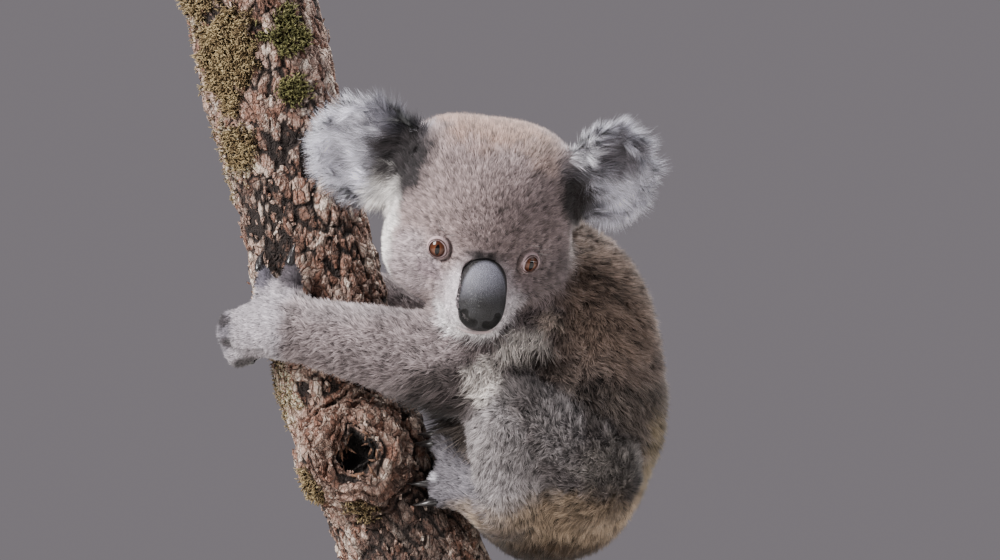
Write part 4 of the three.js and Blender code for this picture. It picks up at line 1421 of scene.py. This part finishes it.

# %% [markdown]
# ## The colours of the bark
#
# Weathered bark is pink and grey where it has flaked and dark in its cracks. Where the carving lies deepest it is
# painted darker still, as painted shade; the burl is reddish brown, darker between its ridges as painted shade, and
# the hollow is painted nearly black, as painted shade. One tone runs through a colour ramp, and everything else is
# laid over it by the numbers kept from the carving. A fine second set of flakes and chips, too small to carve, goes
# into the colour and the bump only.

# %% Bark material
bark_material, start, object_places = new_material("bark", Roughness=0.88)
kept_names = ("height", "plate", "hollow", "lichen", "moss", "sawn", "damp", "burl")
high, plate_tone, in_hollow, lichen_share, moss_share, end_grain, damp, burl_share = map(start.kept, kept_names)
FLAKE, CHIP = 0.0062, 0.0026
grit = start.noise(object_places, 0.0022, 5)
patches = start.noise(object_places, 0.020, 3)
along_trunk = start.make("Mapping", {}, {"Vector": object_places, "Scale": (1.0, 1.0, 0.6)}, 0)
wander = start.make("TexNoise", {}, {"Vector": object_places, "Scale": 90.0, "Detail": 3.0}, 1)
wander = start.make("VectorMath", {"operation": "SCALE"}, {0: wander, "Scale": 0.009}, 0)
bent = start.make("VectorMath", {"operation": "ADD"}, {0: along_trunk, 1: wander}, 0)
flake_edge, chip_edge = start.cracks(bent, FLAKE), start.cracks(bent, CHIP)
flake_own = start.make("TexVoronoi", {"feature": "F1"}, {"Vector": bent, "Scale": 1 / FLAKE}, 1).part(0)
tone = 0.55 * plate_tone + 0.45 * flake_own + 0.9 * (grit - 0.5) + 0.6 * (patches - 0.5)
BARK_TONES = [
    (0.08, colour(88, 60, 48)),
    (0.34, colour(152, 110, 92)),
    (0.5, colour(172, 142, 128)),
    (0.66, colour(198, 168, 152)),
    (0.88, colour(230, 212, 198)),
]
wooden = start.make("ValToRGB", {"stops": BARK_TONES}, {0: tone})
# The burl's own reddish brown, stronger between its ridges as painted shade.
wooden = (burl_share * 0.6).blend(wooden, rgba(104, 68, 54))
# Painted shade: darker bark where the trunk lies in shade.
wooden = (damp * 0.75).blend(wooden, rgba(52, 38, 33))
wooden = flake_edge.between(-0.04, 0.09).blend(rgba(42, 28, 22), wooden)
wooden = chip_edge.between(-0.15, 0.1).blend(rgba(62, 44, 36), wooden)
# Painted shade where the carving lies deepest.
wooden = high.between(0.0, 0.4).blend(rgba(34, 23, 19), wooden)
# Painted shade: the hollow is painted nearly black.
wooden = (in_hollow * 0.9).blend(wooden, rgba(18, 11, 8))
crust = grit.between(0.42, 0.58).blend(rgba(120, 108, 84), rgba(222, 214, 188))
wooden = (lichen_share * grit.between(0.36, 0.5) * high.between(0.2, 0.5)).blend(wooden, crust)
wooden = (moss_share * 0.7).blend(wooden, rgba(96, 82, 48))
rings = start.make(
    "TexWave",
    {"wave_type": "RINGS", "rings_direction": "Z"},
    {
        "Vector": start.kept("off_axis", "Vector"),
        "Scale": 105.0,
        "Distortion": 1.6,
        "Detail": 2.0,
        "Detail Scale": 0.4,
    },
    1,
)
wooden = end_grain.blend(wooden, (rings * 0.7 + 0.3 * grit).blend(rgba(134, 98, 68), rgba(196, 160, 122)))
flaking = 0.7 * grit + flake_edge.between(0.0, 0.16) + 0.4 * chip_edge.between(0.0, 0.2)
finish_with(bark_material, Base_Color=wooden, Height=(flaking, 0.0022))
bark.data.materials.append(bark_material)
alone(bark)
bpy.ops.object.shade_smooth()
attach(bark, "root")
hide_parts("perch_log")
print(len(bark_material.node_tree.nodes), "nodes in the bark's material")

# %% [markdown]
# Moss is a mat of short curly stems, tan where it has dried and green in the damp. It is planted like the fur,
# from the same kind of spike, but every which way. Crumbs of lichen are shorter stems of the same kind.

# %% Plant moss and lichen
bark_triangles = corners(bark.data)
carved = places(bark.data)


def planted(share, count):
    """Random places on the bark, most where the share is high, and the way outward at each."""
    weight = share[bark_triangles].mean(axis=1) * doubled_areas(carved, bark_triangles)
    chosen = randomness.choice(len(bark_triangles), count, p=weight / weight.sum())
    corner = bark_triangles[chosen, randomness.integers(0, 3, count)]
    return carved[corner] + randomness.normal(0, 0.5, (count, 3)), bark_out[corner]


moss_material, start, object_places = new_material("moss", Roughness=0.9)
dry = start.noise(object_places, 0.006, 2).between(0.35, 0.65).blend(rgba(112, 92, 62), rgba(176, 156, 116))
living = start.noise(object_places, 0.004, 2).between(0.35, 0.65).blend(rgba(84, 84, 46), rgba(132, 128, 78))
leafy = start.kept("tone").between(0.3, 0.7).blend(dry, living)
finish_with(moss_material, Base_Color=start.kept("along").between(0.0, 0.7).blend(rgba(52, 40, 24), leafy))
for name, share, count, tall, is_green in (
    ("moss_dry", moss * eased_step(-wood[:, 1], -40, -10), 5000, 5.5, 0.0),
    ("moss_green", green, 1300, 6.0, 1.0),
    ("lichen_crumbs", lichen * (height > -0.5), 2600, 2.6, 0.0),
):
    root, up = planted(share, count)
    ahead = unit(np.cross(up, randomness.normal(0, 1, (count, 3))))
    long = tall * randomness.uniform(0.5, 1.2, count)
    sway = randomness.normal(0, 0.25, (count, 3)) * tall
    piece, per, _ = spikes(name, root, up, ahead, long * 0.5, long * 0.8, 0.22 * long + 0.35, sway, 1)
    paint(piece.data, "tone", np.full(count * per, is_green))
    piece.data.materials.append(moss_material)
    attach(piece, "root")
    print(name, count, "stems")

# %% [markdown]
# Where the branch broke off, torn splinters of wood still stand round the hollow. They are a few spikes with their
# roots on the lip, turned roughly inwards.

# %% Splinters in the hollow
wood_material, start, object_places = new_material("fresh_wood", Roughness=0.8)
fibre = start.noise(object_places, 0.002, 4)
split = fibre.between(0.3, 0.7).blend(rgba(58, 38, 29), rgba(128, 94, 72))
finish_with(wood_material, Base_Color=split, Height=(fibre, 0.0006))
root, up = planted(np.exp(-(((burl_round - 14) / 4) ** 2)) * eased_step(-wood[:, 1], 30, 44), 26)
inward = unit(HOLLOW_AT - root + randomness.normal(0, 24, root.shape))
long = randomness.uniform(4, 12, len(root))
splinters, _, _ = spikes("splinters", root, up, inward, 1.2 * long, 0.2 * long, 0.26 * long + 0.8, 0 * root, 1)
splinters.data.materials.append(wood_material)
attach(splinters, "root")
print(len(root), "splinters")

# %% [markdown]
# Loose chips of bark are thin slabs, lifted at one end. Each has its own length, width, taper and curl. They are
# flat shaded, because broken bark has sharp edges.

# %% Lay loose chips
chip_share = (1 - np.maximum(moss, sawn)) * (1 - hollow)
root, up = planted(chip_share, 1500)
grainwise = unit(np.array((-0.2, 0, 1.0)) + randomness.normal(0, 0.45, root.shape))
grainwise = unit(grainwise - up * (grainwise * up).sum(axis=1, keepdims=True))
side = np.cross(grainwise, up)
long, wide, curl = (randomness.uniform(*span, (len(root), 1)) for span in ((2.5, 7.5), (1.4, 4.0), (0.2, 1.9)))
slab = []
for low_or_high in (-0.7, 0.35):
    for s, t in ((-1, -1), (1, -1), (1, 1), (-1, 1)):
        taper = 1 - 0.3 * randomness.random((len(root), 1))
        lifted = up * (low_or_high + curl * (t > 0))
        slab.append(root + side * s * wide * taper / 2 + grainwise * t * long * taper / 2 + lifted)
slab = np.stack(slab, axis=1)
quads = [(0, 3, 2, 1), (4, 5, 6, 7), (0, 1, 5, 4), (1, 2, 6, 5), (2, 3, 7, 6), (3, 0, 4, 7)]
slab_faces = np.array([corner for a, b, c, d in quads for corner in ((a, b, c), (a, c, d))])
every = (slab_faces[None] + 8 * np.arange(len(root))[:, None, None]).reshape(-1, 3)
chips = mesh_of("bark_chips", slab.reshape(-1, 3), every)
own_tone = np.repeat(np.clip(randomness.normal(0.5, 0.22, len(root)), 0, 1), 8)
for name, values in (("height", np.full(len(own_tone), 0.7)), ("plate", own_tone)):
    paint(chips.data, name, values)
chips.data.materials.append(bark_material)
chips.data.polygons.foreach_set("use_smooth", np.zeros(len(every), bool))
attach(chips, "root")
print(len(root), "loose chips")

# %% [markdown]
# ## The display stand
#
# The trunk is a cut length, so a plain stand holds it up: a round base, lacquered dark, whose top lies a little
# below its rim. It is a turned shape, so a cylinder is the start. Insets and a small move down give the step
# inside the rim, and a bevel gives the soft edges.

# %% The base
RIM, STEP_WIDTH, STEP_DEPTH = 7, 0.8, 0.7
base_low, base_high = (np.array(corner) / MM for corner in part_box("stand_base"))
base_radius, base_thick = (base_high[0] - base_low[0]) / 2, base_high[2]
bpy.ops.object.select_all(action="DESELECT")
bpy.ops.mesh.primitive_cylinder_add(
    vertices=128, radius=base_radius * MM, depth=base_thick * MM, location=(0, 0, base_thick / 2 * MM)
)
base = named("base_disc")
done(base)
pick(base, lambda place: place.z > (base_thick - 0.1) * MM)
bpy.ops.mesh.inset(thickness=RIM * MM)
bpy.ops.mesh.inset(thickness=STEP_WIDTH * MM)
bpy.ops.transform.translate(value=(0, 0, -STEP_DEPTH * MM))
bpy.ops.object.mode_set(mode="OBJECT")
modified(base, "BEVEL", width=1.6 * MM, segments=4, limit_method="ANGLE", angle_limit=math.radians(35))
alone(base)
bpy.ops.object.shade_smooth_by_angle(angle=math.radians(40))
base_material, start, object_places = new_material("base_lacquer", Coat_Weight=0.25, Coat_Roughness=0.3)
wear = start.noise(object_places, 0.03, 4)
specks = start.noise(object_places, 0.0012, 3)
finish_with(
    base_material,
    Base_Color=wear.blend(rgba(38, 37, 38), rgba(54, 52, 52)),
    Roughness=0.36 + 0.18 * wear + 0.08 * specks,
    Height=(specks, 0.0002),
)
base.data.materials.append(base_material)
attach(base, "root")
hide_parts("stand_base")
print("base", round(2 * base_radius), "mm across")

# %% [markdown]
# Two steel rods run from the base into the trunk, with a collar where each leaves the base. A cylinder is cut twice
# with the bisect tool, and the band between the cuts is drawn outwards. Noise drawn out along the rod gives the
# lines of the brushing.

# %% The rods
ROD_RADIUS, COLLAR = 7.9, 3
COLLAR_LOW, COLLAR_HIGH = base_thick - 2, base_thick + 5

rod_material, start, object_places = new_material("brushed_steel", Metallic=1.0)
brushing = start.make("Mapping", {}, {"Vector": object_places, "Scale": (1.0, 1.0, 40.0)}, 0)
lines = start.noise(brushing, 0.01, 4)
finish_with(
    rod_material,
    Base_Color=lines.blend(rgba(150, 150, 152), rgba(190, 190, 192)),
    Roughness=0.28 + 0.2 * lines,
    Height=(lines, 0.00008),
)
for side in ("left", "right"):
    rod_low, rod_high = (np.array(corner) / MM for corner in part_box(f"stand_rod_{side}"))
    middle, tall = (rod_low + rod_high) / 2, rod_high[2] - rod_low[2]
    bpy.ops.object.select_all(action="DESELECT")
    bpy.ops.mesh.primitive_cylinder_add(
        vertices=48, radius=ROD_RADIUS * MM, depth=tall * MM, location=tuple(middle * MM)
    )
    rod = named(f"rod_{side}")
    done(rod)
    pick(rod, lambda place: True)
    for cut_at in (COLLAR_HIGH, COLLAR_LOW):
        bpy.ops.mesh.select_all(action="SELECT")
        bpy.ops.mesh.bisect(plane_co=(0, 0, cut_at * MM), plane_no=(0, 0, 1))
    bpy.ops.object.mode_set(mode="OBJECT")
    pick(rod, lambda place: COLLAR_LOW < place.z / MM < COLLAR_HIGH)
    bpy.ops.mesh.extrude_region_shrink_fatten(TRANSFORM_OT_shrink_fatten={"value": COLLAR * MM})
    bpy.ops.object.mode_set(mode="OBJECT")
    modified(rod, "BEVEL", width=0.5 * MM, segments=2, limit_method="ANGLE", angle_limit=math.radians(40))
    alone(rod)
    bpy.ops.object.shade_smooth_by_angle(angle=math.radians(40))
    rod.data.materials.append(rod_material)
    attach(rod, "root")
    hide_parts(f"stand_rod_{side}")
print("rods", round(tall), "mm long")

# %% [markdown]
# ## Whiskers
#
# A few fine white whiskers stand out beside the mouth and the brows. They are single long spikes that sag a
# little. Each is moved to the nearest point of the skin, so that its root is in it.

# %% Whiskers
beds = [((-22, -68, -42), 16), ((20, -66, -42), 12), ((-34, -52, 26), 5), ((32, -54, 24), 5)]
roots, ways = [], []
for (x, y, z), count in beds:
    spread = randomness.normal(0, 1, (count, 3)) * (6, 3, 6)
    roots.append(np.array((x, y, z)) + spread)
    way = np.array((np.sign(x) * 0.9, -0.75, -0.35 if z < 0 else 0.5))
    ways.append(way + randomness.normal(0, 0.25, (count, 3)))
roots, ways = np.vstack(roots), unit(np.vstack(ways))
roots, ways = moved(roots, HEAD), moved(ways, HEAD_TURN)
roots = inner[[np.argmin(np.linalg.norm(inner - root, axis=1)) for root in roots]]
long = randomness.uniform(8, 17, len(roots))
droop = unit(np.cross(ways, np.cross(np.array((0, 0, 1.0)), ways)))
thick = np.full(len(roots), 0.34)
piece, _, _ = spikes("whiskers", roots, droop, ways, long, -0.12 * long, thick, 0 * roots, 2)
whisker_material, start, object_places = new_material("whisker", Roughness=0.4)
shine = start.noise(object_places, 0.004)
finish_with(whisker_material, Base_Color=shine.blend(rgba(196, 192, 192), rgba(236, 234, 234)))
piece.data.materials.append(whisker_material)
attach(piece, "root")
print(len(roots), "whiskers")

# %% [markdown]
# ## Light, floor and camera
#
# The koala is shown as in a studio, on a pale floor that is wide enough to fill the picture under it. The floor is
# only for the picture, and isn't part of the model.

# %% Floor
bpy.ops.mesh.primitive_circle_add(vertices=96, radius=1.1, fill_type="NGON", location=(0, 0, 0))
floor = named("floor")
done(floor)
floor_material, _, _ = new_material("floor_paint", Roughness=0.7, Base_Color=rgba(214, 211, 207))
floor.data.materials.append(floor_material)
print("floor", round(floor.dimensions.x, 2), "m across")

# %% [markdown]
# One large soft lamp from the upper left is the main light. A weak one from the right fills the shade, one above
# lifts the fur off the background, and one stands behind. Large lamps give soft shade, as the sky does under trees.

# %% Lamps
def softbox(name, place, size, power, tint):
    """A square lamp that faces the middle of the koala."""
    bpy.ops.object.light_add(type="AREA", location=place)
    lamp = bpy.context.object
    lamp.name = name
    lamp.data.size = size
    lamp.data.energy = power
    lamp.data.color = tint
    aim = Vector((0, 0, 0.32)) - Vector(place)
    lamp.rotation_euler = aim.to_track_quat("-Z", "Y").to_euler()


softbox("key", (-1.8, -1.35, 1.6), 1.1, 150, (1.0, 0.98, 0.96))
softbox("fill", (1.8, -1.3, 1.0), 1.4, 10, (0.96, 0.98, 1.0))
softbox("top", (0.3, 0.4, 2.1), 1.2, 66, (1.0, 0.99, 0.98))
softbox("back", (0.9, 1.9, 1.1), 1.4, 20, (1.0, 0.98, 0.96))

world = bpy.data.worlds.new("studio")
bpy.context.scene.world = world
world.use_nodes = True
world.node_tree.nodes["Background"].inputs["Color"].default_value = rgba(124, 119, 124)
world.node_tree.nodes["Background"].inputs["Strength"].default_value = 1.0

# %% [markdown]
# The camera looks level at the middle of the koala from 2.4 m away, with a long lens, so that nothing near it looks
# stretched.

# %% Camera
bpy.ops.object.camera_add(location=(0.028, -2.4, 0.338), rotation=(math.radians(90), 0, 0))
camera = bpy.context.object
camera.data.lens, camera.data.sensor_width = 108, 36
bpy.context.scene.camera = camera
print("lens", camera.data.lens, "mm")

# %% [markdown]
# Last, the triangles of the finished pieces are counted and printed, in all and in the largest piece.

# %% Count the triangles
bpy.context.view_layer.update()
pieces = [piece for piece in bpy.data.objects if piece.type == "MESH" and piece.name not in nodes]
triangles = {piece.name: len(corners(piece.data)) for piece in pieces}
print(sum(triangles.values()), "triangles, at most", max(triangles.values()), "in a piece")
